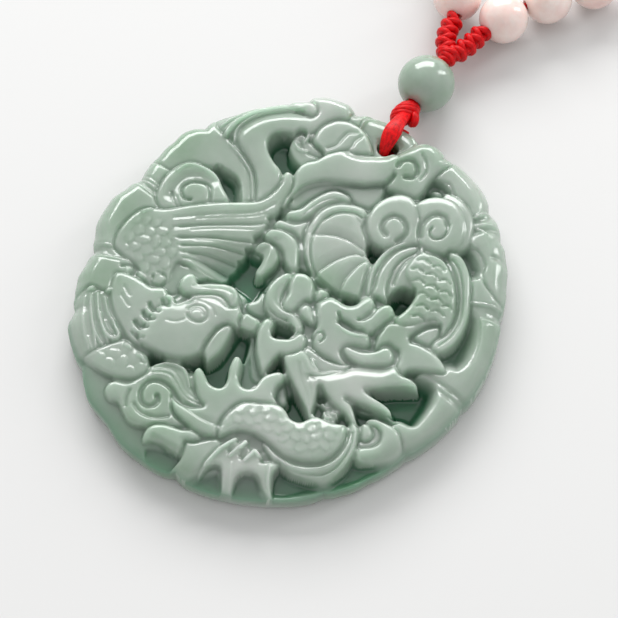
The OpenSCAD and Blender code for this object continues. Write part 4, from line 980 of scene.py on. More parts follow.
# Outline of the disc: direction in degrees, radius in percent of the disc's radius
OUTLINE = (
    (0, 97.4), (8, 97.6), (15, 97.7), (22, 98.4), (30, 99.2), (38, 101), (45, 102.5), (52, 103.4),
    (60, 104.5), (68, 103.8), (75, 103.2), (83, 101.5), (90, 101.5), (96, 101), (101, 101.5), (105, 103.5),
    (110, 104.5), (115, 103.8), (120, 101.1), (128, 99.4), (136, 98.3), (144, 98.5), (150, 98.8),
    (156, 96.5), (162, 94.6), (168, 93.4), (174, 94.1), (180, 96.5), (187, 96.7), (193, 94.9), (200, 95.3),
    (206, 97.5), (210, 98.3), (215, 100.1), (220, 102.4), (225, 102), (232, 102), (240, 103.8),
    (247, 102.9), (255, 104.5), (263, 103.9), (270, 103.5), (278, 102.7), (285, 102), (293, 101.2),
    (300, 100.5), (308, 99.9), (315, 98.3), (323, 96.6), (330, 96), (338, 96), (345, 96.4), (352, 97),
    (360, 97.4))

# Notches between the rim's lobes: direction in degrees, depth in percent of the disc's radius
NOTCHES = (
    (-51, 1.5), (-27, 1), (-6, 1), (22, 1.5), (45, 1.2), (54, 1.8), (73, 1.8), (82, 1.8), (101, 2),
    (116, 1.5), (145, 2.2), (170, 1.8), (197, 2), (215, 1.5), (231, 1.5), (270, 2))

# Level of the rim's crest above the back, by direction
RIM_LEVELS = (
    (0, 5.6), (20, 6), (45, 6.3), (75, 6.3), (90, 6), (112, 6), (118, 5.2), (142, 5.2), (148, 6), (180, 6),
    (215, 5.9), (226, 5.2), (235, 4.5), (262, 4.3), (285, 4.3), (300, 4.4), (312, 4.7), (330, 5.3),
    (345, 5.5), (360, 5.6))

# Broad swells of the carved face: x, y, reach in percent, height in millimetres
SWELLS = (
    (-28, -38, 20, 0.35), (-56, -42, 14, 0.25), (-45, 19, 15, 0.22), (-30, -7, 12, -0.25),
    (2, 68, 14, 0.22), (46, 62, 13, 0.25), (25, 55, 11, 0.2), (9, 28, 14, -0.2), (28, -8, 14, 0.3),
    (60, 31, 13, 0.28), (24, -65, 13, 0.3), (48, -62, 12, 0.3), (-24, -79, 12, 0.15), (-50, 62, 12, 0.2),
    (-66, -12, 14, 0.2))

# Veins of the stone: x, y, reach in percent, and how white (above zero) or green (below) it is there
VEINS = (
    (-86, -3, 15, -0.9), (-76, -38, 10, -0.8), (-82, 38, 12, -0.9), (18, 78, 9, -0.7), (55, 4, 13, -0.6),
    (62, 25, 13, -0.6), (11, 12, 10, -0.7), (-66, 22, 12, -0.5), (-25, -80, 14, -0.3), (84, 22, 10, -0.4),
    (-20, 42, 8, -0.4), (28, -66, 16, 0.5), (25, -89, 12, 0.9), (48, -24, 10, 0.8), (-25, -20, 11, 0.6),
    (60, 85, 20, 0.5), (-38, 91, 9, 0.8), (5, 28, 10, 0.3), (-74, -60, 10, 0.4), (2, 72, 10, 0.5),
    (0, -100, 22, -0.5), (70, -66, 12, -0.6))

# Collars of the rim: direction in degrees, half width and the places of their raised lines in percent
COLLARS = (
    (22, 5.4, (-3.8, 3.8)), (-6, 3.4, (0,)), (73.5, 3.4, (-1.3, 1.3)), (116, 3.8, (-1.6, 0, 1.6)),
    (145, 3.8, (-1.6, 0, 1.6)), (170.7, 4.6, (-2.6, -0.6, 3)), (197, 4.8, (-3.2, 3.2)),
    (215, 3.6, (-1.4, 1.4)))

# Rings down the disc's wall: share of the outline, share of the wall's height
WALL_RINGS = ((1.0, 0.62), (1.0, 0.42), (0.998, 0.25), (0.992, 0.12), (0.982, 0.04))


@dataclass
class Medallion:
    """The carved disc: a height map for its face, an outline, a worn wall, a flat back and a drilled
    cord hole with a half-round channel in the back."""

    radius: float = 30.0
    wall_top: float = 3.0
    back_bevel: float = 1.1
    hole: tuple[float, float] = (0.8, 26.2)
    hole_radius: float = 1.6
    rim_foot: float = 74.0
    collar_depth: float = 0.32
    line_half: float = 0.8
    edge_start: float = 90.5
    edge_sway: float = 3.0
    edge_turn: float = 120.0
    edge_end: float = 100.4
    cells: int = 440
    triangles: int = 186000
    block: Block = field(init=False)

    def edge(self, angle: Array) -> Array:
        """Works out the disc's outline.

        Args:
            angle: Directions in degrees from +X.

        Returns:
            The outline's radius there in percent.
        """
        angle = angle % 360
        places, radii = np.array(OUTLINE, float).T
        span = np.clip(np.searchsorted(places, angle, side="right") - 1, 0, len(places) - 2)
        t = (angle - places[span]) / (places[span + 1] - places[span])
        t = (1 - np.cos(t * pi)) / 2
        result = radii[span] * (1 - t) + radii[span + 1] * t
        for place, depth in NOTCHES:
            off = np.abs((angle - place + 180) % 360 - 180)
            wide, sharp = np.clip(1 - off / 9, 0, 1), np.clip(1 - off / 2.6, 0, 1)
            result -= depth * (0.7 * wide ** 2 + 0.6 * sharp)
        return result

    def shape_rim(self) -> None:
        """Raises the rounded rim with its collars."""
        block = self.block
        x, y = np.meshgrid(block.axis, block.axis)
        angle = np.degrees(np.arctan2(y, x)) % 360
        share = 100 * np.hypot(x, y) / self.edge(angle)
        places, levels = np.array(RIM_LEVELS, float).T
        level = np.interp(angle, places, levels)
        up = share - self.rim_foot
        rise = block.bulge(up / 4)
        crown = 0.94 + 0.06 * block.bulge(up / 12) - 0.10 * np.clip((share - 90) / 10, 0, 1) ** 2
        rim = block.floor + (level - block.floor) * rise * crown
        near = np.clip((share - 76) / 3, 0, 1)
        for place, half, lines in COLLARS:
            off = ((angle - place + 180) % 360 - 180) * pi / 180 * share
            rim -= near * self.collar_depth * np.clip(1 - (off / half) ** 4, 0, 1)
            for line in lines:
                rim += near * self.collar_depth * np.clip(1 - ((off - line) / self.line_half) ** 2, 0, 1)
        block.z = np.maximum(block.z, rim)

    def round_edge(self) -> None:
        """Lets the face fall to the wall near the outline."""
        block = self.block
        x, y = np.meshgrid(block.axis, block.axis)
        angle = np.degrees(np.arctan2(y, x))
        share = 100 * np.hypot(x, y) / self.edge(angle)
        start = self.edge_start + self.edge_sway * np.cos(np.radians(angle - self.edge_turn))
        fall = np.clip((share - start) / (self.edge_end - start), 0, 1)
        fall = 1 - np.sqrt(1 - fall ** 2)
        block.z += (self.wall_top - block.z) * fall

    def carve_face(self) -> None:
        """Carves the whole face into the block."""
        self.block = Block()
        self.shape_rim()
        for form in FIGURES:
            log.debug("carving %s", form.name)
            self.block.carve(form)
        self.block.fill_cracks(reach=4, depth=0.5, spare_pits=False)
        self.block.fill_cracks(reach=8, depth=1.15, spare_pits=True)
        self.block.z = blurred(self.block.z, 0.8) + self.patches(SWELLS)
        self.round_edge()

    def patches(self, table: tuple) -> Array:
        """Adds up soft round patches of a table over the block."""
        x, y = np.meshgrid(self.block.axis, self.block.axis)
        return sum(amount * np.exp(-((x - a) ** 2 + (y - b) ** 2) / reach ** 2)
                   for a, b, reach, amount in table)

    def sample(self, grid: Array, x: Array, y: Array) -> Array:
        """Reads a grid of the block between its points.

        Args:
            grid: The grid.
            x: Places along x in percent.
            y: Places along y.

        Returns:
            The values there.
        """
        block = self.block
        u = np.clip((x + block.reach) / block.pitch, 0, len(block.axis) - 1.001)
        v = np.clip((y + block.reach) / block.pitch, 0, len(block.axis) - 1.001)
        i, j = u.astype(int), v.astype(int)
        s, t = u - i, v - j
        return ((grid[j, i] * (1 - s) + grid[j, i + 1] * s) * (1 - t)
                + (grid[j + 1, i] * (1 - s) + grid[j + 1, i + 1] * s) * t)

    def wrapped_grid(self, n: int) -> Array:
        """Wraps a square grid onto the outline.

        Args:
            n: Cells along a side.

        Returns:
            The grid's places in percent, row by row.
        """
        a, b = np.meshgrid(np.linspace(-1, 1, n + 1), np.linspace(-1, 1, n + 1))
        wide = np.abs(a) > np.abs(b)
        long = np.where(wide, a, b)
        ratio = np.divide(np.where(wide, b, a), long, out=np.zeros_like(a), where=long != 0)
        turn = np.where(wide, 45 * ratio, 90 - 45 * ratio) + np.where(long < 0, 180, 0)
        r = np.abs(long) * self.edge(turn)
        return np.stack([r * np.cos(np.radians(turn)), r * np.sin(np.radians(turn))], -1)

    def cut_hole(self, flat: Array) -> tuple[Array, Array]:
        """Takes out the cells in the cord hole, and draws the corners round it onto its circle.

        Args:
            flat: Places of the grid in percent, some of which are moved.

        Returns:
            The corners of each cell that stays, and which corners lie on the circle.
        """
        n, row = self.cells, self.cells + 1
        hole, hole_radius = self.hole_percent()
        away = flat - hole
        far = np.hypot(away[:, 0], away[:, 1])
        inside = far < hole_radius
        corner = (np.arange(n)[:, None] * row + np.arange(n)).ravel()
        quads = np.stack([corner, corner + 1, corner + row + 1, corner + row], -1)
        gone = inside[quads].any(1)
        lip = np.zeros(len(flat), bool)
        lip[quads[gone].ravel()] = True
        lip &= ~inside
        flat[lip] = hole + away[lip] / far[lip, None] * hole_radius
        return quads[~gone], lip

    def hole_percent(self) -> tuple[Array, float]:
        """The cord hole's middle and radius in percent."""
        to_percent = 100 / self.radius
        return np.array(self.hole) * to_percent, self.hole_radius * to_percent

    def face_and_back(self, flat: Array) -> tuple[Array, Array]:
        """Lifts the grid to the face, and to the back with its bevel and channel.

        Args:
            flat: Places of the grid in percent.

        Returns:
            Points of the face and of the back in millimetres.
        """
        to_percent = 100 / self.radius
        hole, hole_radius = self.hole_percent()
        x, y = flat.T
        share = np.hypot(x, y) / self.edge(np.degrees(np.arctan2(y, x)))
        back = flat * (1 - self.back_bevel / self.radius * np.clip((share - 0.93) / 0.07, 0, 1))[:, None]
        channel = np.where(y > hole[1], np.abs(x - hole[0]), np.inf)
        back_z = np.sqrt(np.clip(hole_radius ** 2 - channel ** 2, 0, None)) / to_percent
        return (np.column_stack([flat / to_percent, self.sample(self.block.z, x, y)]),
                np.column_stack([back / to_percent, back_z]))

    def wall(self, face: Array, back_z: Array) -> tuple[list[Array], list[Array]]:
        """Goes down the worn wall in rings.

        Args:
            face: Points of the face.
            back_z: Level of the back under each of them.

        Returns:
            The wall's points ring by ring, and the point numbers of all rings from face to back.
        """
        n, row = self.cells, self.cells + 1
        way = np.arange(n)
        rim = np.concatenate([way, n + row * way, row * row - 1 - way, row * (n - way)])
        walls, rings = [], [rim]
        start = 2 * len(face)
        for share, level in WALL_RINGS:
            ring = face[rim].copy()
            ring[:, :2] *= share
            ring[:, 2] = np.maximum(level * self.wall_top, back_z[rim] + 0.05 * level)
            walls.append(ring)
            rings.append(start + np.arange(len(rim)))
            start += len(rim)
        return walls, rings + [rim + len(face)]

    @staticmethod
    def hole_wall(kept: Array, lip: Array, count: int) -> Array:
        """Closes the hole along the edges on its circle that only one cell has.

        Args:
            kept: Corners of each cell that stays.
            lip: Which corners lie on the circle.
            count: Number of the grid's places.

        Returns:
            The wall's faces.
        """
        edges = np.concatenate([kept[:, [k, (k + 1) % 4]] for k in range(4)])
        edges = edges[lip[edges].all(1)]
        known = {tuple(e) for e in edges.tolist()}
        ends = np.array([e for e in known if e[::-1] not in known])
        return np.stack([ends[:, 1], ends[:, 0], ends[:, 0] + count, ends[:, 1] + count], -1)

    def build(self) -> Piece:
        """Makes the disc's mesh.

        Returns:
            The object, with the attributes that its finish reads.
        """
        self.carve_face()
        flat = self.wrapped_grid(self.cells).reshape(-1, 2)
        kept, lip = self.cut_hole(flat)
        face, back = self.face_and_back(flat)
        walls, rings = self.wall(face, back[:, 2])
        faces = [kept, kept[:, ::-1] + len(flat)]
        for upper, lower in zip(rings, rings[1:]):
            faces.append(np.stack([upper, lower, np.roll(lower, -1), np.roll(upper, -1)], -1))
        faces.append(self.hole_wall(kept, lip, len(flat)))
        piece = mesh_object("medallion_carved", np.concatenate([face, back, *walls]) * MM,
                            np.concatenate(faces))
        self.thin_out(piece)
        self.shade_normals(piece)
        return piece

    def thin_out(self, piece: Piece) -> None:
        """Brings the mesh down to the wanted count of triangles.

        Args:
            piece: The piece.
        """
        count = sum(len(p.vertices) - 2 for p in piece.data.polygons)
        thin = piece.modifiers.new("thin", "DECIMATE")
        thin.ratio = self.triangles / count
        apply_modifiers(piece)

    def hollows(self) -> Array:
        """Works out how hollow each place is, by its surroundings and by its own level, for the painted
        shade that the finish lays in the carving's hollows.

        Returns:
            The block's grid of values from 0 to 1.
        """
        z = self.block.z
        wide = np.kron(blurred(z[::2, ::2], 6), np.ones((2, 2)))[:z.shape[0], :z.shape[1]]
        near = blurred(z, 2.5)
        hollow = np.clip((wide - z) / 1.8, 0, 1) * 0.45 + np.clip((near - z) / 0.5, 0, 1) * 0.2
        return np.maximum(hollow, np.clip((4.7 - z) / 1.9, 0, 1))

    def shade_normals(self, piece: Piece) -> None:
        """Gives the face the height map's own normals and the back level ones, and writes
        the attributes that the finish reads: where painted shade goes in the hollows, and the veins of the
        stone.

        Args:
            piece: The piece.
        """
        mesh = piece.data
        block = self.block
        co, own = read_points(mesh, "co") / MM, read_points(mesh, "normal")
        x, y = co[:, 0] * 100 / self.radius, co[:, 1] * 100 / self.radius
        dy, dx = np.gradient(block.z, block.pitch * self.radius / 100)
        normal = np.column_stack([-self.sample(dx, x, y), -self.sample(dy, x, y), np.ones(len(x))])
        normal /= np.linalg.norm(normal, axis=1)[:, None]
        face_z = self.sample(block.z, x, y)
        share = 100 * np.hypot(x, y) / self.edge(np.degrees(np.arctan2(y, x)))
        far = np.hypot(co[:, 0] - self.hole[0], co[:, 1] - self.hole[1]) - self.hole_radius
        on_face = (np.abs(co[:, 2] - face_z) < 0.12) & (own[:, 2] > 0.2) & (share < 98) & (far > 0.25)
        own[on_face] = normal[on_face]
        own[co[:, 2] < 0.02] = (0.0, 0.0, -1.0)
        mesh.normals_split_custom_set_from_vertices(own.tolist())
        # how much painted shade each point gets, by how hollow it lies
        values = self.sample(self.hollows(), x, y)
        values[~on_face & (own[:, 2] < 0.2)] = 0.0
        write_attribute(mesh, "hollow", values)
        write_attribute(mesh, "vein", 0.5 + 0.5 * self.sample(self.patches(VEINS), x, y))


class Nodes:
    """Writes a shader's node tree in few lines."""

    def __init__(self, name: str) -> None:
        """Starts a material with one Principled shader.

        Args:
            name: The material's name.
        """
        self.material = bpy.data.materials.new(name)
        self.material.use_nodes = True
        self.tree = self.material.node_tree
        self.shader = self.tree.nodes["Principled BSDF"]

    def add(self, kind: str, sockets: dict | None = None, **settings: object) -> bpy.types.Node:
        """Adds a node.

        Args:
            kind: The node's type.
            sockets: Values or sources for its inputs, by name or number.
            settings: Values for its own settings.

        Returns:
            The node.
        """
        node = self.tree.nodes.new(kind)
        for key, value in settings.items():
            setattr(node, key, value)
        self.set(node, sockets or {})
        return node

    def set(self, node: bpy.types.Node, sockets: dict) -> None:
        """Gives a node's inputs their values or sources.

        Args:
            node: The node.
            sockets: Values or sources by name or number.
        """
        for key, value in sockets.items():
            if isinstance(value, Socket):
                self.tree.links.new(value, node.inputs[key])
            else:
                node.inputs[key].default_value = value

    def put_on(self, piece: Piece) -> None:
        """Makes the material a piece's only one."""
        piece.data.materials.clear()
        piece.data.materials.append(self.material)

    def ramp(self, source: Socket, stops: list[tuple[float, Colour]]) -> Socket:
        """Colours a value by stops.

        Args:
            source: The value.
            stops: Place and colour of each stop.

        Returns:
            The colour.
        """
        node = self.add("ShaderNodeValToRGB", {0: source})
        while len(node.color_ramp.elements) < len(stops):
            node.color_ramp.elements.new(0.5)
        for element, (place, colour) in zip(node.color_ramp.elements, stops):
            element.position = place
            element.color = (*colour, 1)
        return node.outputs[0]

    def noise(self, where: Socket, scale: float, detail: float, rough: float) -> Socket:
        """A noise value at a scale."""
        return self.add("ShaderNodeTexNoise", {"Vector": where, "Scale": scale, "Detail": detail,
                                               "Roughness": rough}).outputs[0]

    def mix(self, share: Socket | float, first: object, second: object) -> Socket:
        """Mixes two colours."""
        node = self.add("ShaderNodeMix", data_type="RGBA")
        self.set(node, {0: share, 6: first, 7: second})
        return node.outputs[2]

    def math(self, kind: str, first: object, second: object) -> Socket:
        """Works out a value of two."""
        node = self.add("ShaderNodeMath", operation=kind)
        self.set(node, {0: first, 1: second})
        return node.outputs[0]


@dataclass(frozen=True)
class Jade:
    """Polished grey-green jade, with painted shade: darker and deep green where the carving is hollow."""

    name: str = "polished_jade"
    light: Colour = srgb(174, 181, 174)
    middle: Colour = srgb(150, 165, 152)
    green: Colour = srgb(126, 151, 128)
    # dark green of the painted shade in the carving's hollows
    deep: Colour = srgb(56, 114, 82)
    roughness: float = 0.13
    carved: bool = True

    def dress(self, piece: Piece) -> None:
        """Puts the finish on a piece.

        Args:
            piece: The piece.
        """
        n = Nodes(self.name)
        place = n.add("ShaderNodeTexCoord").outputs["Object"]
        cloud = n.noise(place, 90, 4, 0.55)
        speck = n.noise(place, 900, 3, 0.6)
        if self.carved:
            vein = n.add("ShaderNodeAttribute", attribute_name="vein").outputs["Fac"]
            cloud = n.math("ADD", n.math("MULTIPLY", cloud, 0.55), n.math("MULTIPLY", vein, 0.45))
        body = n.ramp(cloud, [(0.28, self.green), (0.5, self.middle), (0.72, self.light)])
        body = n.mix(n.math("MULTIPLY", speck, 0.16), body, (*self.light, 1))
        # painted shade: the colour turns to the dark green where the carving is hollow, as shade falls
        # there; some of it stands for the stone's deeper green in the hollows
        if self.carved:
            hollow = n.add("ShaderNodeAttribute", attribute_name="hollow").outputs["Fac"]
            body = n.mix(n.math("MULTIPLY", hollow, 0.95), body, (*self.deep, 1))
        fine = n.noise(place, 2200, 2, 0.5)
        wave = n.noise(place, 420, 2, 0.5)
        height = n.math("ADD", n.math("MULTIPLY", fine, 0.15), wave)
        bump = n.add("ShaderNodeBump", {"Strength": 0.05, "Distance": 0.0002, "Height": height})
        n.set(n.shader, {
            "Base Color": body, "Normal": bump.outputs[0], "Roughness": self.roughness, "IOR": 1.66,
            "Specular IOR Level": 0.6, "Subsurface Weight": 1.0, "Subsurface Scale": 1.0,
            "Subsurface Radius": (0.0036, 0.0045, 0.0038)})
        n.put_on(piece)


@dataclass(frozen=True)
class PinkStone:
    """Pale pink, slightly cloudy polished stone."""

    name: str = "pale_pink_stone"
    light: Colour = srgb(247, 232, 226)
    middle: Colour = srgb(240, 217, 210)
    deep: Colour = srgb(231, 198, 192)
    roughness: float = 0.12

    def dress(self, piece: Piece) -> None:
        """Puts the finish on a piece.

        Args:
            piece: The piece.
        """
        n = Nodes(self.name)
        place = n.add("ShaderNodeTexCoord").outputs["Object"]
        body = n.ramp(n.noise(place, 170, 4, 0.6),
                      [(0.3, self.deep), (0.5, self.middle), (0.68, self.light)])
        vein = n.noise(place, 420, 6, 0.7)
        body = n.mix(n.ramp(vein, [(0.55, (0, 0, 0)), (0.72, (0.6, 0.6, 0.6))]), body, (*self.light, 1))
        bump = n.add("ShaderNodeBump", {"Strength": 0.04, "Distance": 0.0001,
                                        "Height": n.noise(place, 1500, 2, 0.5)})
        n.set(n.shader, {
            "Base Color": body, "Normal": bump.outputs[0], "Roughness": self.roughness, "IOR": 1.54,
            "Subsurface Weight": 0.4, "Subsurface Radius": (0.0022, 0.0013, 0.0011),
            "Subsurface Scale": 1.0, "Coat Weight": 0.3, "Coat Roughness": 0.05})
        n.put_on(piece)


@dataclass(frozen=True)
class Satin:
    """Red satin cord, whose fibres run along the strand, with painted shade in the grooves between the
    fibres.
    """

    name: str = "red_satin"
    bright: Colour = srgb(238, 6, 16)
    middle: Colour = srgb(210, 2, 10)
    # the darkest red, in the fibres' grooves as painted shade, and in the cord's own darker patches
    shade: Colour = srgb(126, 0, 6)
    by_fibre: bool = True

    def dress(self, piece: Piece) -> None:
        """Puts the finish on a piece.

        Args:
            piece: The piece.
        """
        n = Nodes(self.name)
        if self.by_fibre:
            uv = n.add("ShaderNodeUVMap", uv_map="fibre").outputs[0]
            lay = n.add("ShaderNodeMapping", {"Vector": uv, "Scale": (0.9, 14.0, 1.0)}).outputs[0]
            slub = n.add("ShaderNodeMapping", {"Vector": uv, "Scale": (2.2, 3.0, 1.0)}).outputs[0]
        else:
            lay = n.add("ShaderNodeTexCoord").outputs["Object"]
            lay = n.add("ShaderNodeMapping", {"Vector": lay, "Scale": (6000, 6000, 6000)}).outputs[0]
            slub = lay
        # painted shade: the fibres' height drives both the bump and the colour, so the cord is darkest in
        # the low grooves between fibres; the patches add the cord's own uneven tone
        fibre = n.noise(lay, 1.6, 4, 0.7)
        patch = n.noise(slub, 1.0, 2, 0.5)
        tone = n.math("ADD", n.math("MULTIPLY", fibre, 0.65), n.math("MULTIPLY", patch, 0.35))
        body = n.ramp(tone, [(0.34, self.shade), (0.5, self.middle), (0.62, self.bright)])
        bump = n.add("ShaderNodeBump", {"Strength": 0.5, "Distance": 0.00008, "Height": fibre})
        n.set(n.shader, {
            "Base Color": body, "Normal": bump.outputs[0], "Roughness": 0.38,
            "Specular IOR Level": 0.22})
        n.put_on(piece)


@dataclass
class Yarn:
    """Collects strands of satin cord and makes one piece of them."""

    name: str
    points: list = field(default_factory=list)
    faces: list = field(default_factory=list)
    marks: list = field(default_factory=list)

    def strand(self, path: Array, flat: Array, across: Array, thick: Array,
               loop: bool = False, sides: int = 12) -> None:
        """Runs a strand of an oval section along a path.

        Args:
            path: Points of the path, in millimetres.
            flat: Direction of the section's wide axis at each point.
            across: Half width at each point.
            thick: Half thickness at each point.
            loop: Whether the path is closed.
            sides: Points round the section.
        """
        if loop:
            way = np.roll(path, -1, 0) - np.roll(path, 1, 0)
        else:
            way = np.gradient(path, axis=0)
        way /= np.linalg.norm(way, axis=1)[:, None]
        flat = flat - way * (flat * way).sum(1)[:, None]
        flat /= np.linalg.norm(flat, axis=1)[:, None]
        up = np.cross(way, flat)
        turn = np.arange(sides) * 2 * pi / sides
        start = len(self.points)
        along = np.concatenate([[0], np.cumsum(np.linalg.norm(np.diff(path, axis=0), axis=1))])
        for p, f, u, a, t, s in zip(path, flat, up, across, thick, along):
            self.points.extend(p + a * np.cos(turn)[:, None] * f + t * np.sin(turn)[:, None] * u)
            self.marks.extend((s, k / sides) for k in range(sides))
        self.skin(start, len(path), sides, loop)

    def skin(self, start: int, count: int, sides: int, loop: bool) -> None:
        """Joins rings of points with faces.

        Args:
            start: Number of the first ring's first point.
            count: Number of rings.
            sides: Points of a ring.
            loop: Whether the last ring joins the first; otherwise both ends get a face.
        """
        for i in range(count if loop else count - 1):
            a, b = start + i * sides, start + (i + 1) % count * sides
            for k in range(sides):
                m = (k + 1) % sides
                self.faces.append((a + k, a + m, b + m, b + k))
        if not loop:
            self.faces.append(tuple(start + k for k in reversed(range(sides))))
            self.faces.append(tuple(start + (count - 1) * sides + k for k in range(sides)))

    def ring(self, middle: Array, side: Array, up: Array, half: tuple[float, float],
             strand: float, parts: int = 22, sides: int = 9) -> None:
        """Winds one turn of cord.

        Args:
            middle: Centre of the turn.
            side: First axis of the turn's plane.
            up: Second axis of the turn's plane.
            half: Half sizes of the turn along the two axes, to the middle of the cord.
            strand: Half thickness of the cord.
            parts: Points along the turn.
            sides: Points round the cord.
        """
        turn = np.arange(parts) * 2 * pi / parts
        out = np.cos(turn)[:, None] * side * half[0] + np.sin(turn)[:, None] * up * half[1]
        even = np.full(parts, strand)
        self.strand(middle + out, out, even, even, True, sides)

    def finish(self, finish: Satin) -> Piece:
        """Makes the piece and dresses it.

        Args:
            finish: The cord's finish.

        Returns:
            The piece.
        """
        piece = mesh_object(self.name, np.array(self.points) * MM, self.faces)
        layer = piece.data.uv_layers.new(name="fibre")
        loops = np.empty(len(piece.data.loops), int)
        piece.data.loops.foreach_get("vertex_index", loops)
        marks = np.array(self.marks)[loops]
        starts = np.empty(len(piece.data.polygons), int)
        totals = np.empty(len(piece.data.polygons), int)
        piece.data.polygons.foreach_get("loop_start", starts)
        piece.data.polygons.foreach_get("loop_total", totals)
        owner = np.repeat(np.arange(len(starts)), totals)
        # a face that closes the round reads its last place as one full turn
        high = np.zeros(len(starts))
        np.maximum.at(high, owner, marks[:, 1])
        wraps = (marks[:, 1] < 0.01) & (high[owner] > 0.6)
        marks[wraps, 1] += 1.0
        layer.data.foreach_set("uv", marks.astype(np.float32).ravel())
        finish.dress(piece)
        return piece


@dataclass
class Hanging:
    """The cord from the carved disc to the fork: the double strand through the hole, the knot, the
    jade bead and the knotted fork with its two arms."""

    bead_x: float = 0.1
    fork_x: float = 0.6
    knot_y: float = 31.5
    knot_size: tuple[float, float] = (4.4, 3.0)
    bead_y: float = 38.8
    bead_d: float = 8.2
    bore_d: float = 2.2
    bead_z: float = 4.1
    fork_knot_y: float = 43.1
    fork_knot_size: tuple[float, float] = (3.6, 3.2)
    arm_z: float = 3.6
    arm_angle: float = 25.5
    arm_length: float = 5.1
    foot_y: float = 1.4
    braid_d: float = 3.3

    def strands(self, satin: Satin) -> Piece:
        """Lays the flattened double strand: out of the knot, over the rim, down the hole and back.

        Args:
            satin: The cord's finish.

        Returns:
            The piece.
        """
        route = smooth_line(np.array([
            (33.0, 4.6), (32.0, 5.2), (31.0, 5.75), (30.0, 6.2), (29.1, 6.45), (28.2, 6.5), (27.2, 6.3),
            (26.3, 5.8), (25.7, 5.1), (25.45, 4.2), (25.45, 2.8), (25.6, 1.8), (26.1, 1.05), (27.4, 0.68),
            (29.2, 0.66), (31.0, 0.72), (32.1, 0.95)]), False, 4)
        yarn = Yarn("bail_strands")
        count = len(route)
        t = np.linspace(0, 1, count)
        path = np.column_stack([np.interp(t, (0, 0.3, 0.5, 1), (0.2, 0.4, 0.55, 0.35)), route])
        across = np.interp(t, (0, 0.12, 0.2, 0.3, 0.37, 0.44, 0.5, 0.56, 1),
                           (0.9, 0.95, 1.08, 1.3, 1.24, 1.0, 0.75, 0.7, 0.8))
        yarn.strand(path, np.tile([1.0, 0, 0], (count, 1)), across, np.full(count, 0.56), False, 32)
        return yarn.finish(satin)

    def knot(self, satin: Satin) -> Piece:
        """Ties the wound knot between the disc and the jade bead, with the loop that stands out.

        Args:
            satin: The cord's finish.

        Returns:
            The piece.
        """
        yarn = Yarn("bail_knot_wound")
        width, height = self.knot_size
        middle = np.array([self.bead_x, self.knot_y + height / 2, self.bead_z])
        cord = 0.46
        half = width / 2 - cord
        for off, lean, size in ((-1.2, 0.5, 0.72), (-0.62, 0.55, 0.9), (0.0, 0.58, 1.0), (0.62, 0.55, 0.9),
                                (1.12, 0.45, 0.68)):
            side = np.array([cos(lean), sin(lean), 0])
            yarn.ring(middle + np.array([-0.25, off, 0]), side, np.array([0, 0, 1.0]),
                      (half * size * 0.92, half * size * 0.82), cord, 30, 12)
        # the loop that stands out on the right
        for out, size in ((1.15, 1.0), (1.5, 0.8)):
            yarn.ring(middle + np.array([out, -0.45, 0.25]), np.array([0.5, -0.86, 0]),
                      np.array([0.3, 0.2, 0.93]), (0.85 * size, 0.8 * size), 0.44, 24, 12)
        # core
        yarn.strand(np.array([[self.bead_x, self.knot_y + 0.2 + k * 0.52, self.bead_z] for k in range(6)]),
                    np.tile([1.0, 0, 0], (6, 1)), np.array([0.9, 1.3, 1.5, 1.5, 1.3, 0.9]),
                    np.array([0.8, 1.2, 1.35, 1.35, 1.2, 0.8]), False, 14)
        return yarn.finish(satin)

    def bead(self, jade: Jade) -> Piece:
        """Makes the round jade bead with its bore.

        Args:
            jade: The bead's finish.

        Returns:
            The piece.
        """
        piece = drilled_bead("jade_bead_round", [(np.array([self.bead_x, self.bead_y, self.bead_z]), 0.0)],
                             self.bead_d, self.bore_d, 72, 40)
        jade.dress(piece)
        return piece

    def fork(self, satin: Satin) -> Piece:
        """Ties the knot over the bead and the two arms of snake knots.

        Args:
            satin: The cord's finish.

        Returns:
            The piece.
        """
        yarn = Yarn("fork_snake_knots")
        width = self.fork_knot_size[0]
        base = np.array([self.fork_x - 0.1, self.fork_knot_y, self.arm_z + 0.2])
        cord = 0.5
        for off, size, lean in ((0.5, 0.55, 0.3), (1.1, 0.8, -0.25), (1.75, 1.0, 0.3)):
            side = np.array([cos(lean), sin(lean), 0])
            half = (width / 2 - cord) * size
            yarn.ring(base + np.array([0, off, 0]), side, np.array([0, 0, 1.0]), (half, half * 0.85),
                      cord, 24, 10)
        for way, bow, pitch in ((-1, 0.85, 0.7), (1, 0.4, 0.78)):
            snake_knots(yarn, lambda s: self.arm_at(s, way, bow), self.arm_run() - 0.2, self.braid_d,
                        0.3, pitch)
        return yarn.finish(satin)

    def arm_reach(self) -> Array:
        """How far the right arm's end lies from the arms' foot."""
        angle = radians(self.arm_angle)
        return np.array([sin(angle) * self.arm_length,
                         cos(angle) * self.arm_length + self.fork_knot_size[1] - self.foot_y, 0])

    def arm_run(self) -> float:
        """Length of an arm."""
        return float(np.linalg.norm(self.arm_reach()))

    def arm_at(self, s: float, way: int, bow: float) -> tuple[Array, Array]:
        """Follows an arm of the fork.

        Args:
            s: Length from its foot.
            way: Which side: -1 left, 1 right.
            bow: How far the arm bows out.

        Returns:
            The place and the direction there.
        """
        length = self.arm_run()
        run = self.arm_reach() / length * np.array([way, 1, 1])
        out = np.array([way * run[1], -abs(run[0]), 0])
        t = s / length
        foot = np.array([self.fork_x, self.fork_knot_y + self.foot_y, self.arm_z])
        place = foot + run * s + out * bow * 4 * t * (1 - t)
        ahead = run + out * bow * 4 * (1 - 2 * t) / length
        return place, ahead / np.linalg.norm(ahead)


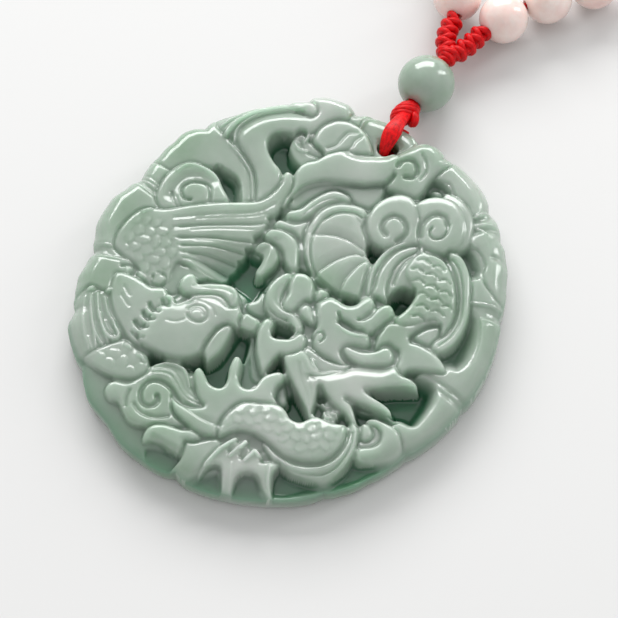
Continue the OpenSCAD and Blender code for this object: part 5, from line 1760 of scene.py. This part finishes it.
def snake_knots(yarn: Yarn, at: Callable[[float], tuple[Array, Array]], length: float,
                width: float, start: float = 0.0, pitch: float = 0.86) -> None:
    """Ties a row of snake knots: turns of cord that lean left and right in turn.

    Args:
        yarn: The piece that takes the turns.
        at: Gives place and direction at a length along the row.
        length: Length of the row.
        width: Width of the row.
        start: Where the row starts.
        pitch: Distance between two turns.
    """
    count = max(2, round((length - 0.9) / pitch) + 1)
    cord = 0.5
    inset = cord * 0.92
    core = [at(start + inset + (length - 2 * inset) * k / 9) for k in range(10)]
    yarn.strand(np.array([place for place, _ in core]),
                np.array([np.cross(way, (0, 0, 1.0)) for _, way in core]),
                np.full(10, width / 2 - cord), np.full(10, width / 2 - cord * 1.3), False, 12)
    for k in range(count):
        s = start + inset + (length - 2 * inset) * k / (count - 1)
        place, way = at(s)
        up = np.array([0, 0, 1.0])
        side = np.cross(way, up)
        hand = 1 if k % 2 else -1
        lean = radians(24) * hand
        axis = side * cos(lean) + way * sin(lean)
        yarn.ring(place + side * hand * 0.2, axis, up, (width / 2 - cord - 0.2, width / 2 - cord), cord)


def drilled_bead(name: str, places: list[tuple[Array, float]], d: float, bore: float,
                 around: int, along: int) -> Piece:
    """Makes round beads with a bore, as one piece.

    Args:
        name: The piece's name.
        places: Middle of each bead and the bore's direction, in radians from +Y towards +X.
        d: Diameter of a bead.
        bore: Diameter of its bore.
        around: Points round the bore's axis.
        along: Points from one mouth of the bore to the other.

    Returns:
        The piece.
    """
    r = d / 2
    first = asin(bore / d)
    soft = 0.09
    mouth = -cos(first) * r
    profile = [(bore / 2, mouth + soft * 1.2), (bore / 2 + 0.25 * soft, mouth + 0.35 * soft)]
    sweep = np.linspace(first + soft / r * 1.6, pi - first - soft / r * 1.6, along)
    profile += [(r * sin(a), -r * cos(a)) for a in sweep]
    profile += [(x, -y) for x, y in reversed(profile[:2])]
    profile = np.array(profile)
    turn = np.arange(around) * 2 * pi / around
    rows = len(profile)
    shape = np.stack([profile[:, 0:1] * np.cos(turn), np.repeat(profile[:, 1:2], around, 1),
                      profile[:, 0:1] * np.sin(turn)], -1).reshape(-1, 3)
    k = np.arange(around)
    m = (k + 1) % around
    quads = np.concatenate([np.stack([a * around + k, a * around + m, b * around + m, b * around + k], -1)
                            for a, b in zip(range(rows), list(range(1, rows)) + [0])])
    points, faces = [], []
    for middle, angle in places:
        c, s = cos(angle), sin(angle)
        turned = shape @ np.array([[c, -s, 0], [s, c, 0], [0, 0, 1]])
        faces.append(quads + len(points) * len(shape))
        points.append(turned + middle)
    return mesh_object(name, np.concatenate(points) * MM, np.concatenate(faces))


@dataclass
class Necklace:
    """The two sides of the necklace: groups of three pink beads between stretches of snake knots, on
    one thread."""

    fork: tuple[float, float, float] = (0.6, 46.3, 3.6)
    bead_d: float = 7.2
    bore_d: float = 1.6
    first_bead: float = 8.9
    bead_pitch: float = 7.4
    group_beads: int = 3
    groups: int = 11
    stretch: float = 6.9
    group_length: float = 22.0
    period: float = 29.3
    kink: float = 12.6
    fork_angle: float = 25.5
    string_angle: float = 40.0
    width: float = 2.8

    def __post_init__(self) -> None:
        """Works out the straight and the round stretch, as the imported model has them."""
        side_length = (self.first_bead - self.bead_d / 2 + self.groups * self.period - 0.2
                       - self.stretch / 2)
        lean = radians(self.string_angle)
        self.kink_x = self.kink * sin(radians(self.fork_angle))
        self.kink_y = self.fork[1] + self.kink * cos(radians(self.fork_angle))
        self.round_r = ((side_length - self.kink + self.kink_x / sin(lean))
                        / (1 / tan(lean) + pi / 2 + lean))
        self.straight = self.round_r / tan(lean) - self.kink_x / sin(lean)
        self.round_y = (self.kink_y + self.straight * cos(lean)
                        + self.round_r * sin(lean))

    def at(self, s: float, way: int) -> tuple[Array, float]:
        """Follows one side of the necklace.

        Args:
            s: Length from the fork.
            way: Which side: -1 left, 1 right.

        Returns:
            The place, and the direction there in radians.
        """
        if s < self.kink:
            angle = radians(self.fork_angle)
            x, y = s * sin(angle), self.fork[1] + s * cos(angle)
        elif s < self.kink + self.straight:
            angle = radians(self.string_angle)
            x = self.kink_x + (s - self.kink) * sin(angle)
            y = self.kink_y + (s - self.kink) * cos(angle)
        else:
            angle = radians(self.string_angle) - (s - self.kink - self.straight) / self.round_r
            x = self.round_r * cos(angle)
            y = self.round_y - self.round_r * sin(angle)
        return np.array([self.fork[0] + way * x, y, self.fork[2]]), way * angle

    def beads(self, way: int, name: str, stone: PinkStone) -> Piece:
        """Makes all pink beads of one side.

        Args:
            way: Which side: -1 left, 1 right.
            name: The piece's name.
            stone: The beads' finish.

        Returns:
            The piece.
        """
        places = [self.at(self.first_bead + g * self.period + i * self.bead_pitch, way)
                  for g in range(self.groups) for i in range(self.group_beads)]
        piece = drilled_bead(name, places, self.bead_d, self.bore_d, 44, 24)
        stone.dress(piece)
        return piece

    def knots(self, way: int, name: str, count: int, satin: Satin) -> Piece:
        """Ties all stretches of snake knots of one side.

        Args:
            way: Which side: -1 left, 1 right.
            name: The piece's name.
            count: Number of stretches.
            satin: The cord's finish.

        Returns:
            The piece.
        """
        yarn = Yarn(name)
        for g in range(count):
            start = self.first_bead - self.bead_d / 2 + self.group_length + 0.2 + g * self.period

            def place(s: float) -> tuple[Array, Array]:
                """Place and direction at a length along the side."""
                middle, angle = self.at(s, way)
                return middle, np.array([sin(angle), cos(angle), 0])
            snake_knots(yarn, place, self.stretch, self.width, start)
        return yarn.finish(satin)


@dataclass
class Studio:
    """The pale floor, the soft lights and the camera."""

    turn: float = 30.0
    height: float = 64.0
    distance: float = 330.0
    focal_px: float = 2400.0
    frame_px: float = 618.0
    shift_px: tuple[float, float] = (19.5, -12.0)
    px_per_mm: float = 7.27

    def axes(self) -> tuple[Vector, Vector, Vector]:
        """Works out how the camera looks.

        Returns:
            Its right, up and viewing directions.
        """
        a, e = radians(self.turn), radians(self.height)
        right = Vector((cos(a), sin(a), 0))
        ahead = Vector((-sin(a), cos(a), 0))
        view = ahead * cos(e) - Vector((0, 0, 1)) * sin(e)
        return right, right.cross(view), view

    def camera(self) -> None:
        """Puts the camera where the photograph was taken from."""
        right, up, view = self.axes()
        aim = Vector((0, 0, 3.0)) + right * (self.shift_px[0] / self.px_per_mm) \
            + up * (self.shift_px[1] / self.px_per_mm)
        data = bpy.data.cameras.new("camera")
        data.sensor_width = 36
        data.lens = 36 * self.focal_px / self.frame_px
        data.clip_start, data.clip_end = 0.01, 20
        camera = bpy.data.objects.new("camera", data)
        bpy.context.scene.collection.objects.link(camera)
        camera.location = (aim - view * self.distance) * MM
        camera.rotation_mode = "QUATERNION"
        camera.rotation_quaternion = view.to_track_quat("-Z", "Y")
        bpy.context.scene.camera = camera

    def floor(self) -> None:
        """Lays the plain pale floor."""
        piece = mesh_object("floor", [(-3, -3, 0), (3, -3, 0), (3, 3, 0), (-3, 3, 0)], [(0, 1, 2, 3)])
        n = Nodes("pale_floor")
        n.set(n.shader, {"Base Color": (0.71, 0.71, 0.705, 1), "Roughness": 0.6,
                         "Specular IOR Level": 0.25})
        piece.data.materials.append(n.material)
        piece.location.z = -0.0002

    def light(self, name: str, turn: float, height: float, far: float, size: tuple[float, float],
              power: float) -> None:
        """Hangs one soft light.

        Args:
            name: Its name.
            turn: Direction from the disc, in degrees from straight ahead towards the right.
            height: Angle above the floor.
            far: Distance in metres.
            size: Width and height in metres.
            power: Watts.
        """
        right, _, view = self.axes()
        ahead = Vector((view.x, view.y, 0)).normalized()
        t, h = radians(turn), radians(height)
        out = (ahead * cos(t) + right * sin(t)) * cos(h) + Vector((0, 0, 1)) * sin(h)
        data = bpy.data.lights.new(name, "AREA")
        data.shape = "RECTANGLE"
        data.size, data.size_y = size
        data.energy = power
        lamp = bpy.data.objects.new(name, data)
        bpy.context.scene.collection.objects.link(lamp)
        lamp.location = out * far
        lamp.rotation_mode = "QUATERNION"
        lamp.rotation_quaternion = (-out).to_track_quat("-Z", "Y")

    def lights(self) -> None:
        """Hangs the window-like main light beyond the disc and one at its side, in a pale world."""
        self.light("window", turn=-5, height=34, far=1.0, size=(1.0, 0.5), power=10.0)
        self.light("side", turn=62, height=26, far=1.1, size=(0.22, 0.6), power=2.4)
        world = bpy.data.worlds.new("studio")
        world.use_nodes = True
        back = world.node_tree.nodes["Background"]
        back.inputs["Color"].default_value = (1, 1, 1, 1)
        back.inputs["Strength"].default_value = 0.69
        bpy.context.scene.world = world
        bpy.context.scene.view_settings.view_transform = "Standard"


def settle(piece: Piece, slot: str, *nodes: str) -> None:
    """Ties a finished piece to the part's body, hides the nodes that it stands for, and reports it.

    Args:
        piece: The piece.
        slot: Name of its material slot; not used.
        nodes: Nodes that it stands for.
    """
    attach(piece, "root")
    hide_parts(*nodes)
    log.info("%s stands for %s, %d faces", piece.name, ", ".join(nodes), len(piece.data.polygons))


def main() -> None:
    """Builds and dresses every piece in order."""
    logging.basicConfig(level=logging.INFO, format="%(name)s: %(message)s")
    studio = Studio()
    studio.camera()
    studio.floor()
    studio.lights()
    jade, satin = Jade(), Satin()
    disc = Medallion().build()
    jade.dress(disc)
    settle(disc, "jade", "jade_medallion")
    hanging = Hanging()
    settle(hanging.strands(satin), "red_satin", "bail_cord")
    settle(hanging.knot(satin), "red_satin", "bail_knot")
    settle(hanging.bead(Jade("polished_jade_bead", roughness=0.06, carved=False)), "bead_jade", "jade_bead")
    settle(hanging.fork(satin), "red_satin", "fork_braid")
    necklace = Necklace()
    stone = PinkStone()
    for way, side, count in ((-1, "left", 10), (1, "right", 11)):
        settle(necklace.beads(way, f"pink_beads_{side}_round", stone), "pink_stone", f"pink_beads_{side}")
        settle(necklace.knots(way, f"snake_knots_{side}_tied", count, satin), "red_satin",
               f"snake_knots_{side}")
    plain = Satin("red_satin_thread", by_fibre=False)
    for node in ("thread", "bead_cord"):
        plain.dress(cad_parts[node])
        log.info("%s has its finish", node)


if __name__ == "__main__":
    main()
